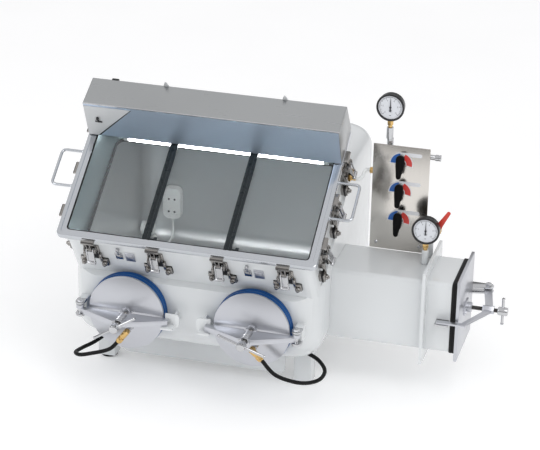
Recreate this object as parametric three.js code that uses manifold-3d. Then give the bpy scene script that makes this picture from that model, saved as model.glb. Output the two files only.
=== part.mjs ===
// Desktop laboratory glove box: a vacuum-tight steel chamber with a sloping window, two clamped
// glove-port covers, a side pass box with a clamped door, and a gas panel with gauges and cocks.
// Millimetres. +X is the right side, +Y is the back, +Z is up.
import * as THREE from 'three';
import { mergeVertices } from 'three/addons/utils/BufferGeometryUtils.js';
import Module from 'manifold-3d';

const wasm = await Module();
wasm.setup();

// ---------------------------------------------------------------- driving sizes
const GAP = 0.3; // clearance between pieces that touch in the real object
const WALL = 5; // sheet thickness of the chamber, its port rings and the pass box
const CHAMBER = { halfWidth: 350, front: 85, back: 775, bottom: 120, top: 585 };
const CORNER_R = 80; // upright corners of the chamber
const EDGE_R = 60; // its other edges
const WINDOW = { angle: 34, length: 453, halfWidth: 360, sillZ: 455 };
const NECK = { halfWidth: 343, depth: 190, foot: 170, r: 30 };
const FRAME_T = 16;
const GASKET_T = 4;
const PORT = { x: 177, z: 225, bore: 80, ring: 92, band: 105.5, cover: 107, coverFront: 48, coverT: 8 };
const ARM = { hingeX: 128, hingeY: 38, reach: 125, apex: 58, thickness: 3, skirt: 14 };
const PASS = { y: 322, z: 248, halfY: 92, halfZ: 103, start: 326, end: 683.7, r: 12 };
const PANEL = { left: 416, right: 574, bottom: 352, top: 661, y: 405, t: 3 };
const COCK_X = 495;
const COCK_Z = [629, 544, 459];
const GAUGE = { r: 39, depth: 28, recess: 4, faceR: 34 };
const SIDES = [-1, 1];
const PORT_BACK = PORT.coverFront + PORT.coverT;
const ARM_Z = PORT.z + 2;
const TAB_TOP = ARM_Z - ARM.skirt - 1;
const LATCH_X = [-270, -90, 90, 270];
const LATCH_S = [85, 225, 365];

// ---------------------------------------------------------------- materials
const metal = (color, roughness) => new THREE.MeshStandardMaterial({ color, roughness, metalness: 1 });
const plain = (color, roughness) => new THREE.MeshStandardMaterial({ color, roughness, metalness: 0 });
const MATERIAL = {
  white: plain(0xdfe3e5, 0.35),
  steel: metal(0xc4c8cc, 0.28),
  satin: metal(0xaeb3b8, 0.4),
  panel: metal(0xb3a89c, 0.3),
  brass: metal(0xc99a4a, 0.3),
  black: plain(0x161616, 0.6),
  dark: plain(0x202224, 0.45),
  blue: plain(0x0c4a8c, 0.5),
  red: plain(0xc83228, 0.45),
  glass: plain(0xe6eef0, 0.05),
  plastic: plain(0xeeeeea, 0.4),
  lamp: plain(0xffffff, 0.4),
};

// ---------------------------------------------------------------- solid helpers
function toSolid(geometry) {
  const bare = geometry.clone();
  bare.deleteAttribute('normal');
  bare.deleteAttribute('uv');
  const merged = mergeVertices(bare, 1e-4);
  return new wasm.Manifold(new wasm.Mesh({
    numProp: 3,
    vertProperties: new Float32Array(merged.attributes.position.array),
    triVerts: new Uint32Array(merged.index.array),
  }));
}

function toGeometry(solid) {
  const mesh = solid.getMesh();
  const geometry = new THREE.BufferGeometry();
  geometry.setAttribute('position', new THREE.BufferAttribute(new Float32Array(mesh.vertProperties), 3));
  geometry.setIndex(new THREE.BufferAttribute(new Uint32Array(mesh.triVerts), 1));
  const flat = geometry.toNonIndexed();
  flat.computeVertexNormals();
  return flat;
}

const combine = (method, first, others) =>
  toGeometry(others.reduce((sum, other) => sum[method](toSolid(other)), toSolid(first)));
const join = (first, ...others) => combine('add', first, others);
const cut = (first, ...others) => combine('subtract', first, others);
const common = (first, ...others) => combine('intersect', first, others);

const vec = (x, y, z) => new THREE.Vector3(x, y, z);
const radians = THREE.MathUtils.degToRad;

// A box from its two opposite corners.
function block([x0, y0, z0], [x1, y1, z1]) {
  const geometry = new THREE.BoxGeometry(x1 - x0, y1 - y0, z1 - z0);
  return geometry.translate((x0 + x1) / 2, (y0 + y1) / 2, (z0 + z1) / 2);
}

// A round bar between two points.
function bar(from, to, radius, sides = 16, endRadius = radius) {
  const a = vec(...from);
  const b = vec(...to);
  const geometry = new THREE.CylinderGeometry(endRadius, radius, a.distanceTo(b), sides);
  const turn = new THREE.Quaternion().setFromUnitVectors(vec(0, 1, 0), b.clone().sub(a).normalize());
  geometry.applyQuaternion(turn);
  return geometry.translate((a.x + b.x) / 2, (a.y + b.y) / 2, (a.z + b.z) / 2);
}

// A rounded rectangle, centred on the origin.
function roundedRect(width, height, r) {
  const x = width / 2 - r;
  const y = height / 2 - r;
  const shape = new THREE.Shape();
  shape.absarc(x, y, r, 0, Math.PI / 2);
  shape.absarc(-x, y, r, Math.PI / 2, Math.PI);
  shape.absarc(-x, -y, r, Math.PI, Math.PI * 1.5);
  shape.absarc(x, -y, r, Math.PI * 1.5, Math.PI * 2);
  return shape;
}

const polygon = (points) => new THREE.Shape(points.map(([x, y]) => new THREE.Vector2(x, y)));

// A flat shape made into a prism between two heights, along its own +Z.
function prism(shape, low, high, curveSegments = 6) {
  const options = { depth: high - low, bevelEnabled: false, curveSegments };
  const geometry = new THREE.ExtrudeGeometry(shape, options);
  return geometry.translate(0, 0, low);
}

// The same prism stood so that its own +Z runs along world X, or along world Y.
const alongX = (geometry) =>
  geometry.applyMatrix4(new THREE.Matrix4().makeBasis(vec(0, 1, 0), vec(0, 0, 1), vec(1, 0, 0)));
const alongY = (geometry) =>
  geometry.applyMatrix4(new THREE.Matrix4().makeBasis(vec(-1, 0, 0), vec(0, 0, 1), vec(0, 1, 0)));

// A tube of solid round section through the given points.
function hose(points, radius, steps, sides = 8) {
  const curve = new THREE.CatmullRomCurve3(points.map((p) => vec(...p)), false, 'centripetal');
  const section = new THREE.Shape().absarc(0, 0, radius, 0, Math.PI * 2);
  const outline = new THREE.Shape(section.getPoints(sides).slice(0, sides));
  return new THREE.ExtrudeGeometry(outline, { steps, extrudePath: curve, bevelEnabled: false });
}

// ---------------------------------------------------------------- the window's own axes
// across = world X, up = along the slope from the sill, out = away from the chamber.
const tilt = radians(WINDOW.angle);
const UP = vec(0, Math.cos(tilt), Math.sin(tilt));
const OUT = vec(0, -Math.sin(tilt), Math.cos(tilt));
const windowMatrix = new THREE.Matrix4().makeBasis(vec(1, 0, 0), UP, OUT).setPosition(0, 0, WINDOW.sillZ);
const onWindow = (geometry) => geometry.applyMatrix4(windowMatrix);
const windowPoint = (x, s, n) => vec(x, s, n).applyMatrix4(windowMatrix).toArray();
// A rounded plate lying on the slope, from its middle, sizes and two depths.
const slopePlate = (width, height, r, midS, low, high) =>
  onWindow(prism(roundedRect(width, height, r), low, high, 4).translate(0, midS, 0));

// ---------------------------------------------------------------- the assembly
const glovebox = new THREE.Group();
glovebox.name = 'glove_box';

function add(name, geometry, material) {
  const mesh = new THREE.Mesh(geometry, material);
  mesh.name = name;
  glovebox.add(mesh);
}

// The chamber's box, rounded on all its edges (three rounded prisms in common) and cut off along
// the slope where the window neck stands on it.
function chamberBlock(inset) {
  const width = 2 * (CHAMBER.halfWidth - inset);
  const depth = CHAMBER.back - CHAMBER.front - 2 * inset;
  const height = CHAMBER.top - CHAMBER.bottom - 2 * inset;
  const cornerR = CORNER_R - inset;
  const edgeR = EDGE_R - inset;
  const plan = prism(roundedRect(width, depth, cornerR), -height / 2, height / 2);
  const side = alongX(prism(roundedRect(depth, height, edgeR), -width / 2, width / 2));
  const front = alongY(prism(roundedRect(width, height, edgeR), -depth / 2, depth / 2));
  const box = common(plan, side, front)
    .translate(0, (CHAMBER.front + CHAMBER.back) / 2, (CHAMBER.bottom + CHAMBER.top) / 2);
  return cut(box, onWindow(block([-500, -500, -NECK.foot - inset], [500, 1000, 500])));
}

const neckMiddle = WINDOW.length / 2;
const neckHeight = WINDOW.length - 14;
const FLANGE_TOP = -FRAME_T - GASKET_T - 2 * GAP;

function addChamber() {
  const neck = slopePlate(2 * NECK.halfWidth, neckHeight, NECK.r, neckMiddle, -NECK.depth, FLANGE_TOP - 1);
  const flange = slopePlate(
    2 * NECK.halfWidth + 22, neckHeight + 8, NECK.r, neckMiddle, FLANGE_TOP - 8, FLANGE_TOP);
  const neckHollow = slopePlate(
    2 * (NECK.halfWidth - WALL), neckHeight - 2 * WALL, NECK.r - WALL, neckMiddle, -NECK.depth - 20, 0);
  const walls = cut(join(chamberBlock(0), neck, flange), chamberBlock(WALL), neckHollow);
  const portTube = (side, radius, y0, y1) =>
    bar([side * PORT.x, y0, PORT.z], [side * PORT.x, y1, PORT.z], radius, 40);
  const rings = SIDES.map((side) => portTube(side, PORT.ring, PORT_BACK + GAP, 128));
  const bores = SIDES.map((side) => portTube(side, PORT.bore, 40, 140));
  const passOutline = roundedRect(2 * (PASS.halfY + GAP), 2 * (PASS.halfZ + GAP), PASS.r);
  const passHole = alongX(prism(passOutline, 300, 400)).translate(0, PASS.y, PASS.z);
  const latches = latchPlaces().map(({ matrix, sink }) => latchBase(sink).applyMatrix4(matrix));
  const lugs = [...latches, ...SIDES.map(catchTab)];
  add('chamber_shell', cut(join(walls, ...rings, ...lugs), ...bores, passHole), MATERIAL.white);
}

// The tab that an arm's free end rests on.
function catchTab(side) {
  const x = side * (PORT.x - ARM.reach);
  return join(
    block([x - 17, 12, TAB_TOP - 6], [x + 17, CHAMBER.front + 2, TAB_TOP]),
    block([x - side * 14 - 4, 60, TAB_TOP - 6], [x - side * 14 + 4, CHAMBER.front + 2, ARM_Z + 10]));
}

// Legs with a rounded apron (front) or a plain rail (rear), welded into one stand.
function stand(y, hang) {
  const legTop = CHAMBER.bottom - GAP;
  const legs = [-1, 1].map((side) =>
    block([side * 285 - 25, y, 0], [side * 285 + 25, y + 50, legTop]));
  const rail = block([-285, y, legTop - 6], [285, y + 40, legTop]);
  const apron = prism(roundedRect(470, 2 * hang, 16), 0, 5)
    .rotateX(Math.PI / 2)
    .translate(0, y + 5, legTop - 1);
  const below = block([-300, y - 5, 0], [300, y + 60, legTop - 1]);
  return join(legs[0], legs[1], rail, common(apron, below));
}

function addWindow() {
  const ring = (outer, inner, low, high) => cut(
    slopePlate(...outer, neckMiddle, low, high), slopePlate(...inner, neckMiddle, low - 1, high + 1));
  const opening = [672, 409, 10];
  const rebate = slopePlate(686, 423, 12, neckMiddle, -FRAME_T - 1, -6);
  const keepers = latchPlaces().map(({ matrix }) => latchKeeper().applyMatrix4(matrix));
  const frame = ring([2 * WINDOW.halfWidth, WINDOW.length, 14], opening, -FRAME_T, 0);
  add('window_frame', join(cut(frame, rebate), ...keepers, ...SIDES.map(liftHandle)), MATERIAL.steel);
  add('window_glass', slopePlate(685, 422, 11, neckMiddle, -FRAME_T + 2, -6 - GAP), MATERIAL.glass);
  const gasketHigh = -FRAME_T - GAP;
  add('window_gasket', ring(
    [704, neckHeight + 4, 26], [2 * (NECK.halfWidth - WALL), neckHeight - 2 * WALL, 24],
    gasketHigh - GASKET_T, gasketHigh), MATERIAL.black);
  [['left', -112], ['right', 114]].forEach(([name, x]) => add(
    `mullion_${name}`, onWindow(block([x - 11, 23, -6], [x + 11, 430, -1])), MATERIAL.dark));
}

// A rod loop that the window frame is lifted by.
function liftHandle(side) {
  const edge = side * (WINDOW.halfWidth - 3);
  const far = side * 420;
  const n = -9;
  const path = [
    [edge, 163, n], [far - side * 14, 163, n], [far - side * 4, 167, n], [far, 178, n],
    [far, 263, n], [far - side * 4, 274, n], [far - side * 14, 278, n], [edge, 278, n],
  ];
  return hose(path.map((p) => windowPoint(...p)), 4, 28);
}

// The lamp hood over the upper window: a thin box open underneath, with its section set on the slope.
function addHood() {
  const section = (inset, foot) => polygon([
    [333 + inset, foot], [352 + inset, 118 - inset], [448 - inset, 105 - inset], [452 - inset, foot]]);
  const place = (geometry) => onWindow(alongX(geometry));
  const outer = place(prism(section(0, GAP), -358.5, 358.5));
  const inner = place(prism(section(2, -5), -356.5, 356.5));
  add('lamp_hood', cut(outer, inner), MATERIAL.satin);
  const lampS = 404;
  const lampN = -105;
  const tube = bar(windowPoint(-295, lampS, lampN), windowPoint(295, lampS, lampN), 8, 12);
  add('lamp_tube', tube, MATERIAL.lamp);
}

// One toggle latch. Its own axes: x across, y away from the chamber, z from the frame down the neck.
// Its origin is level with the frame's edge, so its base sinks as far as the neck wall below it.
const LEVER_PIVOT = { y: 12, z: 52 };
const leverPin = (radius) =>
  bar([-15, LEVER_PIVOT.y, LEVER_PIVOT.z], [15, LEVER_PIVOT.y, LEVER_PIVOT.z], radius, 10);

function latchBase(sink) {
  const plate = block([-20, -sink, 40], [20, 3, 112]);
  const cheeks = SIDES.map((side) => block([side * 14 - 2, 2, 44], [side * 14 + 2, 18, 60]));
  const feet = SIDES.map((side) => block([side * 26 - 8, -sink, 84], [side * 26 + 8, 13, 112]));
  return join(plate, leverPin(2.5), ...cheeks, ...feet);
}

// The keeper on the frame with the loop that hangs from it to the lever.
function latchKeeper() {
  const keeper = block([-11, -4, 4], [11, 19, 14]);
  const loop = cut(block([-9, 14, 8], [9, 18, 44]), block([-5.5, 10, 14], [5.5, 20, 40]));
  return join(keeper, loop);
}

function latchLever() {
  const side = polygon([
    [6, 48], [9, 45], [15, 45], [18, 50], [23, 80], [27, 96], [23, 98], [18, 84], [13, 60], [7, 58]]);
  const knob = bar([-11, 25, 95], [11, 25, 95], 5.5, 10);
  return cut(join(alongX(prism(side, -9, 9)), knob), leverPin(2.5 + GAP));
}

// Where each latch stands: under the sill, and on the two side walls of the neck.
function latchPlaces() {
  const basis = (across, away) => new THREE.Matrix4().makeBasis(across, away, OUT.clone().negate());
  const sill = LATCH_X.map((x, i) => ({
    name: `sill_${i + 1}`, sink: 2,
    matrix: basis(vec(1, 0, 0), UP.clone().negate()).setPosition(...windowPoint(x, 7, 0)),
  }));
  const walls = [[-1, 'left'], [1, 'right']].flatMap(([side, word]) => LATCH_S.map((s, i) => ({
    name: `${word}_${i + 1}`, sink: 12,
    matrix: basis(UP.clone().multiplyScalar(side), vec(side, 0, 0))
      .setPosition(...windowPoint(side * (WINDOW.halfWidth - 7), s, 0)),
  })));
  return [...sill, ...walls];
}

function addLatchLevers() {
  latchPlaces().forEach(({ name, matrix }) =>
    add(`latch_lever_${name}`, latchLever().applyMatrix4(matrix), MATERIAL.steel));
}

// ---------------------------------------------------------------- glove ports
// side -1 is the left port, whose arm is hinged at its left end; side 1 mirrors it.
function addPort(side, name, tBarAngle, elbowAim, hosePath) {
  const cx = side * PORT.x;
  const ringTube = (outer, inner, y0, y1) => cut(
    bar([cx, y0, PORT.z], [cx, y1, PORT.z], outer, 40),
    bar([cx, y0 - 1, PORT.z], [cx, y1 + 1, PORT.z], inner, 40));
  add(`port_band_${name}`, ringTube(PORT.band, PORT.ring + GAP, PORT_BACK + GAP, 81), MATERIAL.blue);

  // The cover disc with its boss for the screw and its vacuum nipple.
  const disc = bar([cx, PORT.coverFront, PORT.z], [cx, PORT_BACK, PORT.z], PORT.cover, 56);
  const boss = bar([cx, 41, PORT.z], [cx, PORT.coverFront + 1, PORT.z], 15, 16);
  const rootX = cx + 14;
  const rootZ = PORT.z - 38;
  add(`port_cover_${name}`, join(disc, boss), MATERIAL.satin);
  const [aimX, aimZ] = elbowAim;
  const stub = bar([rootX, PORT.coverFront - GAP, rootZ], [rootX, 12, rootZ], 7, 12);
  const collar = bar([rootX, PORT.coverFront - GAP, rootZ], [rootX, 34, rootZ], 10, 6);
  const alongAim = (t) => [rootX + aimX * t, 5, rootZ + aimZ * t];
  const elbow = bar(alongAim(-4), alongAim(22), 8.5, 12);
  const turn = bar([rootX, 16, rootZ], [rootX, 4, rootZ], 8.5, 12);
  const nut = bar(alongAim(20), alongAim(34), 8, 6);
  add(`port_elbow_${name}`, join(collar, stub, turn, elbow, nut), MATERIAL.brass);

  // The arm: a tapered shelf with a turned-down front edge and a nut boss at its apex, cleared
  // for the cover's boss, which slides towards the nut as the screw is undone.
  const hingeX = cx + side * ARM.hingeX;
  const catchX = cx - side * ARM.reach;
  const backY = 40 - GAP;
  const endY = 24;
  const apexY = backY - ARM.apex;
  const outline = (inset) => polygon([
    [hingeX, backY + inset], [catchX, backY + inset], [catchX, endY + inset],
    [cx - side * 20, apexY + inset], [cx + side * 20, apexY + inset],
    [hingeX - side * 16, endY + inset]]);
  const shelf = prism(outline(0), ARM_Z, ARM_Z + ARM.thickness);
  const skirt = cut(
    prism(outline(0), ARM_Z + 1 - ARM.skirt, ARM_Z + 1),
    prism(outline(ARM.thickness), ARM_Z - 20, ARM_Z + 10));
  const knuckle = bar([hingeX, ARM.hingeY, ARM_Z], [hingeX, ARM.hingeY, ARM_Z + 12], 11, 16);
  const nutBoss = bar([cx, apexY - 10, PORT.z], [cx, 33, PORT.z], 13, 16);
  const arm = cut(
    join(shelf, skirt, knuckle, nutBoss),
    bar([cx, -80, PORT.z], [cx, 60, PORT.z], 7 + GAP, 16),
    bar([hingeX, ARM.hingeY, ARM_Z - 20], [hingeX, ARM.hingeY, ARM_Z + 30], 5 + GAP, 16),
    bar([cx, 33 + GAP, PORT.z], [cx, 60, PORT.z], 15 + 2 * GAP, 16),
    bar([rootX, 60, rootZ], [rootX, -20, rootZ], 12, 12));
  add(`port_arm_${name}`, arm, MATERIAL.steel);

  // The clamp screw with its hub and T-bar.
  const hubY = -52;
  const half = 70;
  const dx = half * Math.cos(radians(tBarAngle));
  const dz = half * Math.sin(radians(tBarAngle));
  add(`port_screw_${name}`, join(
    bar([cx, 41 - GAP, PORT.z], [cx, hubY - 8, PORT.z], 7, 12),
    bar([cx, hubY - 12, PORT.z], [cx, hubY + 14, PORT.z], 12, 16),
    bar([cx - dx, hubY, PORT.z - dz], [cx + dx, hubY, PORT.z + dz], 4, 10)), MATERIAL.steel);

  // The fixed hinge lug: two tabs and a post on the chamber's front, with the pin and its bolt head.
  const wallY = 130;
  const lug = join(
    block([hingeX - 17, ARM.hingeY - 13, TAB_TOP - 6], [hingeX + 17, wallY, TAB_TOP]),
    block([hingeX - 13, ARM.hingeY + 14, TAB_TOP - 1], [hingeX + 13, wallY, ARM_Z + 20]),
    block([hingeX - 13, ARM.hingeY - 12, ARM_Z + 14], [hingeX + 13, wallY, ARM_Z + 20]),
    bar([hingeX, ARM.hingeY, TAB_TOP - 3], [hingeX, ARM.hingeY, ARM_Z + 27], 5, 12),
    bar([hingeX, ARM.hingeY, ARM_Z + 19], [hingeX, ARM.hingeY, ARM_Z + 27], 9, 6));
  add(`port_hinge_${name}`, cut(lug, chamberBlock(-GAP)), MATERIAL.steel);
  add(`port_hose_${name}`, hose(hosePath, 5.5, 30), MATERIAL.black);
}

// ---------------------------------------------------------------- pass box
function addPassBox() {
  const tube = (outY, outZ, x0, x1, wall) => {
    const outer = alongX(prism(roundedRect(2 * outY, 2 * outZ, PASS.r), x0, x1, 4));
    const inner = alongX(prism(roundedRect(2 * (outY - wall), 2 * (outZ - wall), 7), x0 - 1, x1 + 1, 4));
    return cut(outer, inner).translate(0, PASS.y, PASS.z);
  };
  const { halfY, halfZ } = PASS;
  add('pass_box_duct', tube(halfY, halfZ, PASS.start, PASS.end, WALL), MATERIAL.white);
  const flangeHole = prism(roundedRect(2 * (halfY + GAP), 2 * (halfZ + GAP), PASS.r), 600, 620, 4);
  add('pass_box_flange', cut(
    block([607, 202, 113], [615, 442, 383]),
    alongX(flangeHole).translate(0, PASS.y, PASS.z)), MATERIAL.white);
  add('pass_door_gasket', tube(halfY + 2, halfZ + 2, PASS.end + GAP, 700, 14), MATERIAL.black);

  // The outer door: a flat plate, and the small bracket the screw's foot turns in.
  const doorFace = 709;
  add('pass_door', join(
    block([700 + GAP, PASS.y - 106, PASS.z - 119], [doorFace, PASS.y + 106, PASS.z + 119]),
    block([doorFace - 1, PASS.y - 26, PASS.z - 16], [doorFace + 4, PASS.y + 26, PASS.z + 16]),
    bar([doorFace, PASS.y, PASS.z], [doorFace + 18, PASS.y, PASS.z], 14, 16)), MATERIAL.satin);

  // The bowed arm lies flat, hinged behind the door and resting on a lug in front of it.
  const bow = polygon([
    [742, 463], [758, 463], [782, 340], [782, 304], [732, 212], [732, 196], [652, 196], [652, 208],
    [720, 208], [720, 216], [762, 302], [762, 340], [738, 446]]);
  const armLow = PASS.z - 3;
  const armHigh = PASS.z + 3;
  const nutBoss = bar([758, PASS.y, PASS.z], [786, PASS.y, PASS.z], 12, 6);
  add('pass_door_arm', cut(
    join(prism(bow, armLow, armHigh), nutBoss, bar([749, 455, armLow], [749, 455, armHigh], 13, 16)),
    bar([740, PASS.y, PASS.z], [800, PASS.y, PASS.z], 6 + GAP, 16),
    bar([749, 455, armLow - 9], [749, 455, armHigh + 9], 5 + GAP, 16)), MATERIAL.satin);
  const hubX = 812;
  add('pass_door_screw', join(
    bar([doorFace + 18 + GAP, PASS.y, PASS.z], [hubX + 10, PASS.y, PASS.z], 6, 12),
    bar([hubX - 14, PASS.y, PASS.z], [hubX + 14, PASS.y, PASS.z], 12, 16),
    bar([hubX, PASS.y, PASS.z - 40], [hubX, PASS.y, PASS.z + 40], 4, 10)), MATERIAL.steel);

  // Fixed lugs on the duct: a clevis with a pin behind, a rest tab with a bolt in front.
  const back = PASS.y + halfY + GAP;
  const cheek = (low) => polygonPrism(
    [[640, back], [757, 442], [764, 455], [757, 468], [690, 468], [640, 440]], low, low + 5);
  add('pass_door_hinge', join(
    cheek(armHigh + 2), cheek(armLow - 7), block([640, back, armLow - 7], [660, back + 12, armHigh + 7]),
    bar([749, 455, armLow - 10], [749, 455, armHigh + 12], 5, 12),
    bar([749, 455, armHigh + 6], [749, 455, armHigh + 13], 9, 6)), MATERIAL.steel);
  const front = PASS.y - halfY - GAP;
  add('pass_door_rest', join(
    block([646, 194, armLow - 6.3], [682, front, armLow - GAP]),
    block([646, front - 5, armLow - 20], [682, front, armLow - GAP]),
    bar([668, 216, armLow - 14], [668, 216, armLow - 1], 6, 6)), MATERIAL.steel);

  // The inner door, inside the chamber, hung on an upright pin behind the opening.
  const innerX = PASS.start - 1;
  const inner = join(
    block([innerX - 6, PASS.y - 96, PASS.z - 105], [innerX, PASS.y + 100, PASS.z + 105]),
    bar([innerX - 3, PASS.y + 108, PASS.z - 60], [innerX - 3, PASS.y + 108, PASS.z + 60], 6, 12),
    block([innerX - 6, PASS.y + 98, PASS.z - 60], [innerX - 2, PASS.y + 106, PASS.z + 60]),
    bar([innerX - 5, PASS.y, PASS.z], [innerX - 40, PASS.y, PASS.z], 6, 12),
    bar([innerX - 38, PASS.y, PASS.z - 40], [innerX - 38, PASS.y, PASS.z + 40], 4, 10));
  add('inner_door', inner, MATERIAL.satin);
}

const polygonPrism = (points, low, high) => prism(polygon(points), low, high);

// ---------------------------------------------------------------- gas panel
function addPanel() {
  const plate = block([PANEL.left, PANEL.y, PANEL.bottom], [PANEL.right, PANEL.y + PANEL.t, PANEL.top]);
  const foot = block(
    [PANEL.left, PANEL.y + 1, PANEL.bottom], [PANEL.right, PANEL.y + 24, PANEL.bottom + PANEL.t]);
  const holes = COCK_Z.map((z) => bar([COCK_X, 380, z], [COCK_X, 430, z], 9 + GAP, 16));
  add('gas_panel', cut(join(plate, foot), ...holes), MATERIAL.panel);

  // The pipework behind the panel: an upright, three cock stems and two side branches.
  const pipeY = 430;
  const gaugeX = 457;
  const stems = COCK_Z.flatMap((z) => [
    bar([COCK_X, 396, z], [COCK_X, pipeY, z], 9, 12),
    bar([gaugeX, pipeY, z], [COCK_X + 12, pipeY, z], 9, 12)]);
  add('gas_pipework', join(
    bar([gaugeX, pipeY, 440], [gaugeX, pipeY, 672], 9, 12), ...stems,
    bar([COCK_X, pipeY, COCK_Z[0]], [600, pipeY, COCK_Z[0]], 9, 12),
    bar([404, pipeY, 571], [gaugeX, pipeY, 571], 8, 12)), MATERIAL.steel);

  COCK_Z.forEach((z, i) => {
    const lever = polygon([[-9, 6], [-5, 12], [5, 12], [9, 6], [9, -14], [6, -52], [-6, -52], [-9, -14]]);
    const handle = join(
      alongY(prism(lever, 372, 384)).translate(COCK_X, 0, z),
      bar([COCK_X, 383, z], [COCK_X, 396 - GAP, z], 8, 12));
    add(`cock_handle_${i + 1}`, handle, MATERIAL.black);
  });

  addGauge('top', gaugeX, pipeY - 12, 768, 672 + GAP);
  addGauge('side', 586, 338, 454, PASS.z + PASS.halfZ + GAP);

  // The lever valve beside the panel, standing on the pass box.
  const valveX = 606;
  const valveY = 392;
  const valveZ = 440;
  add('vent_valve', join(
    bar([590, valveY, 352], [590, valveY, valveZ], 8, 12),
    block([576, valveY - 12, valveZ - 14], [618, valveY + 12, valveZ + 12]),
    bar([valveX, valveY, valveZ], [valveX, valveY - 20, valveZ], 6, 12)), MATERIAL.brass);
  const grip = polygon([[-8, -7], [8, -7], [9, 14], [7, 70], [-5, 72], [-9, 14]]);
  const lean = radians(-30);
  add('vent_lever', alongY(prism(grip, 366, 369)).applyMatrix4(
    new THREE.Matrix4().makeRotationY(-lean)).translate(valveX, 0, valveZ), MATERIAL.red);

  // The clear line from the chamber's nozzle to the pipework.
  add('chamber_nozzle', join(
    bar([NECK.halfWidth + GAP, 380, 560], [362, 380, 560], 10, 6),
    bar([360, 380, 560], [376, 380, 560], 6, 12)), MATERIAL.brass);
  add('clear_line', hose([[376 + GAP, 380, 560], [384, 380, 560], [391, 392, 563], [391, 416, 569],
    [396, 430, 571], [404 - GAP, 430, 571]], 5, 12), MATERIAL.plastic);
}

// A round dial gauge on a hexagonal brass stem, with its needle pointing up.
function addGauge(name, x, y, z, foot) {
  const front = y - GAUGE.depth / 2;
  const ring = bar([x, front, z], [x, front + 8, z], GAUGE.r, 40);
  const body = bar([x, front + 7, z], [x, front + GAUGE.depth, z], GAUGE.r - 3, 40);
  const recess = bar([x, front - 1, z], [x, front + GAUGE.recess, z], GAUGE.faceR, 40);
  add(`gauge_${name}`, cut(join(ring, body), recess), MATERIAL.black);
  const rim = z - GAUGE.r;
  add(`gauge_stem_${name}`, join(
    bar([x, y, rim - GAP], [x, y, rim - 12], 9, 6), bar([x, y, rim - 10], [x, y, rim - 20], 6, 12),
    bar([x, y, rim - 19], [x, y, foot + 4], 9.5, 12),
    bar([x, y, foot], [x, y, foot + 8], 7, 12)), MATERIAL.brass);
  const pointer = polygon([[0, 28], [-1.6, 0], [-2.4, -12], [2.4, -12], [1.6, 0]]);
  const hubY = front + GAUGE.recess - GAP;
  add(`gauge_needle_${name}`, join(
    alongY(prism(pointer, hubY - 2, hubY - 1)).translate(x, 0, z),
    bar([x, hubY - 2.5, z], [x, hubY, z], 3, 10)), MATERIAL.dark);
}

// ---------------------------------------------------------------- inside fittings
function addFittings() {
  const wallY = CHAMBER.back - WALL - 4;
  add('outlet_strip', block([-289, wallY - 28, 208], [-235, wallY, 305]), MATERIAL.plastic);
  add('cable_feedthrough', bar([-339, 690, 190], [-300, 690, 190], 20, 16), MATERIAL.plastic);
}

addChamber();
add('front_stand', stand(200, 90), MATERIAL.white);
add('rear_stand', stand(640, 40), MATERIAL.white);
addWindow();
addHood();
addLatchLevers();
addPort(-1, 'left', 33, [-0.6, -0.8], [
  [-184, 5, 159.5], [-209, 4, 132], [-262, 0, 112], [-297, 4, 101], [-315, 24, 96], [-309, 60, 93],
  [-288, 100, 95], [-255, 150, 112]]);
addPort(1, 'right', -19, [0.75, -0.66], [
  [217, 5, 164], [256, 3, 126], [307, 20, 103], [340, 60, 86], [361, 100, 82], [362, 140, 88],
  [335, 172, 100], [300, 182, 112]]);
addPassBox();
addPanel();
addFittings();

// The group's origin: the middle of the footprint at floor level, hoses left out.
const bounds = new THREE.Box3();
glovebox.children
  .filter((mesh) => !mesh.name.startsWith('port_hose'))
  .forEach((mesh) => bounds.expandByObject(mesh));
const middle = bounds.getCenter(new THREE.Vector3());
glovebox.children.forEach((mesh) => mesh.geometry.translate(-middle.x, -middle.y, -bounds.min.z));

export default glovebox;
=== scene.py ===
"""The look of a bench-top laboratory glove box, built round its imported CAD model.

Shapes are written in millimetres in the chamber's own axes: x runs right from the chamber's middle
plane, y back from the window's lower edge, z up from the floor. piece() turns them into metres in
the CAD model's frame.
"""
import math

import bmesh
import bpy
from mathutils import Matrix, Vector


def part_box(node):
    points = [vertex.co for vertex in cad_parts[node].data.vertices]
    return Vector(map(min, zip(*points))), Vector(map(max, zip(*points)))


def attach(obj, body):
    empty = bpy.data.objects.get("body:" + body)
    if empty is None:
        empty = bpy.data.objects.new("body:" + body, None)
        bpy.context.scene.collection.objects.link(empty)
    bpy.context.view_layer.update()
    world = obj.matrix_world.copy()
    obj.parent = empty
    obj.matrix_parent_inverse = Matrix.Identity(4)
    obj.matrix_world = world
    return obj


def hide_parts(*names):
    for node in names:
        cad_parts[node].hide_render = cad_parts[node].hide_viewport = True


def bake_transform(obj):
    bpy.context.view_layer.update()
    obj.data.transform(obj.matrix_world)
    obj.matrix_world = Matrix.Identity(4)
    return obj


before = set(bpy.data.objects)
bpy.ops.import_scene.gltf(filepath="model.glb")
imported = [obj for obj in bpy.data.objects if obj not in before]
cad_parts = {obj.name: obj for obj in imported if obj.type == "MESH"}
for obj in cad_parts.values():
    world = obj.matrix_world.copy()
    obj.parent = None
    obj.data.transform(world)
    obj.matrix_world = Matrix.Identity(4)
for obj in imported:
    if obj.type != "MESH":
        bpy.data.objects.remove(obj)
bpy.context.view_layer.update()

# ---------------------------------------------------------------- the chamber's own axes
MM = 0.001
STAND_LOW, STAND_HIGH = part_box("front_stand")
LEG_FRONT = 200  # the front legs' face is this far behind the window's lower edge
ORIGIN = Vector(((STAND_LOW.x + STAND_HIGH.x) / 2, STAND_LOW.y - LEG_FRONT * MM, 0))
TO_FRAME = Matrix.Translation(ORIGIN) @ Matrix.Scale(MM, 4)


def span(node):
    """A CAD node's lowest and highest corners, in millimetres in the chamber's axes."""
    low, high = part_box(node)
    return (low - ORIGIN) / MM, (high - ORIGIN) / MM


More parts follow.
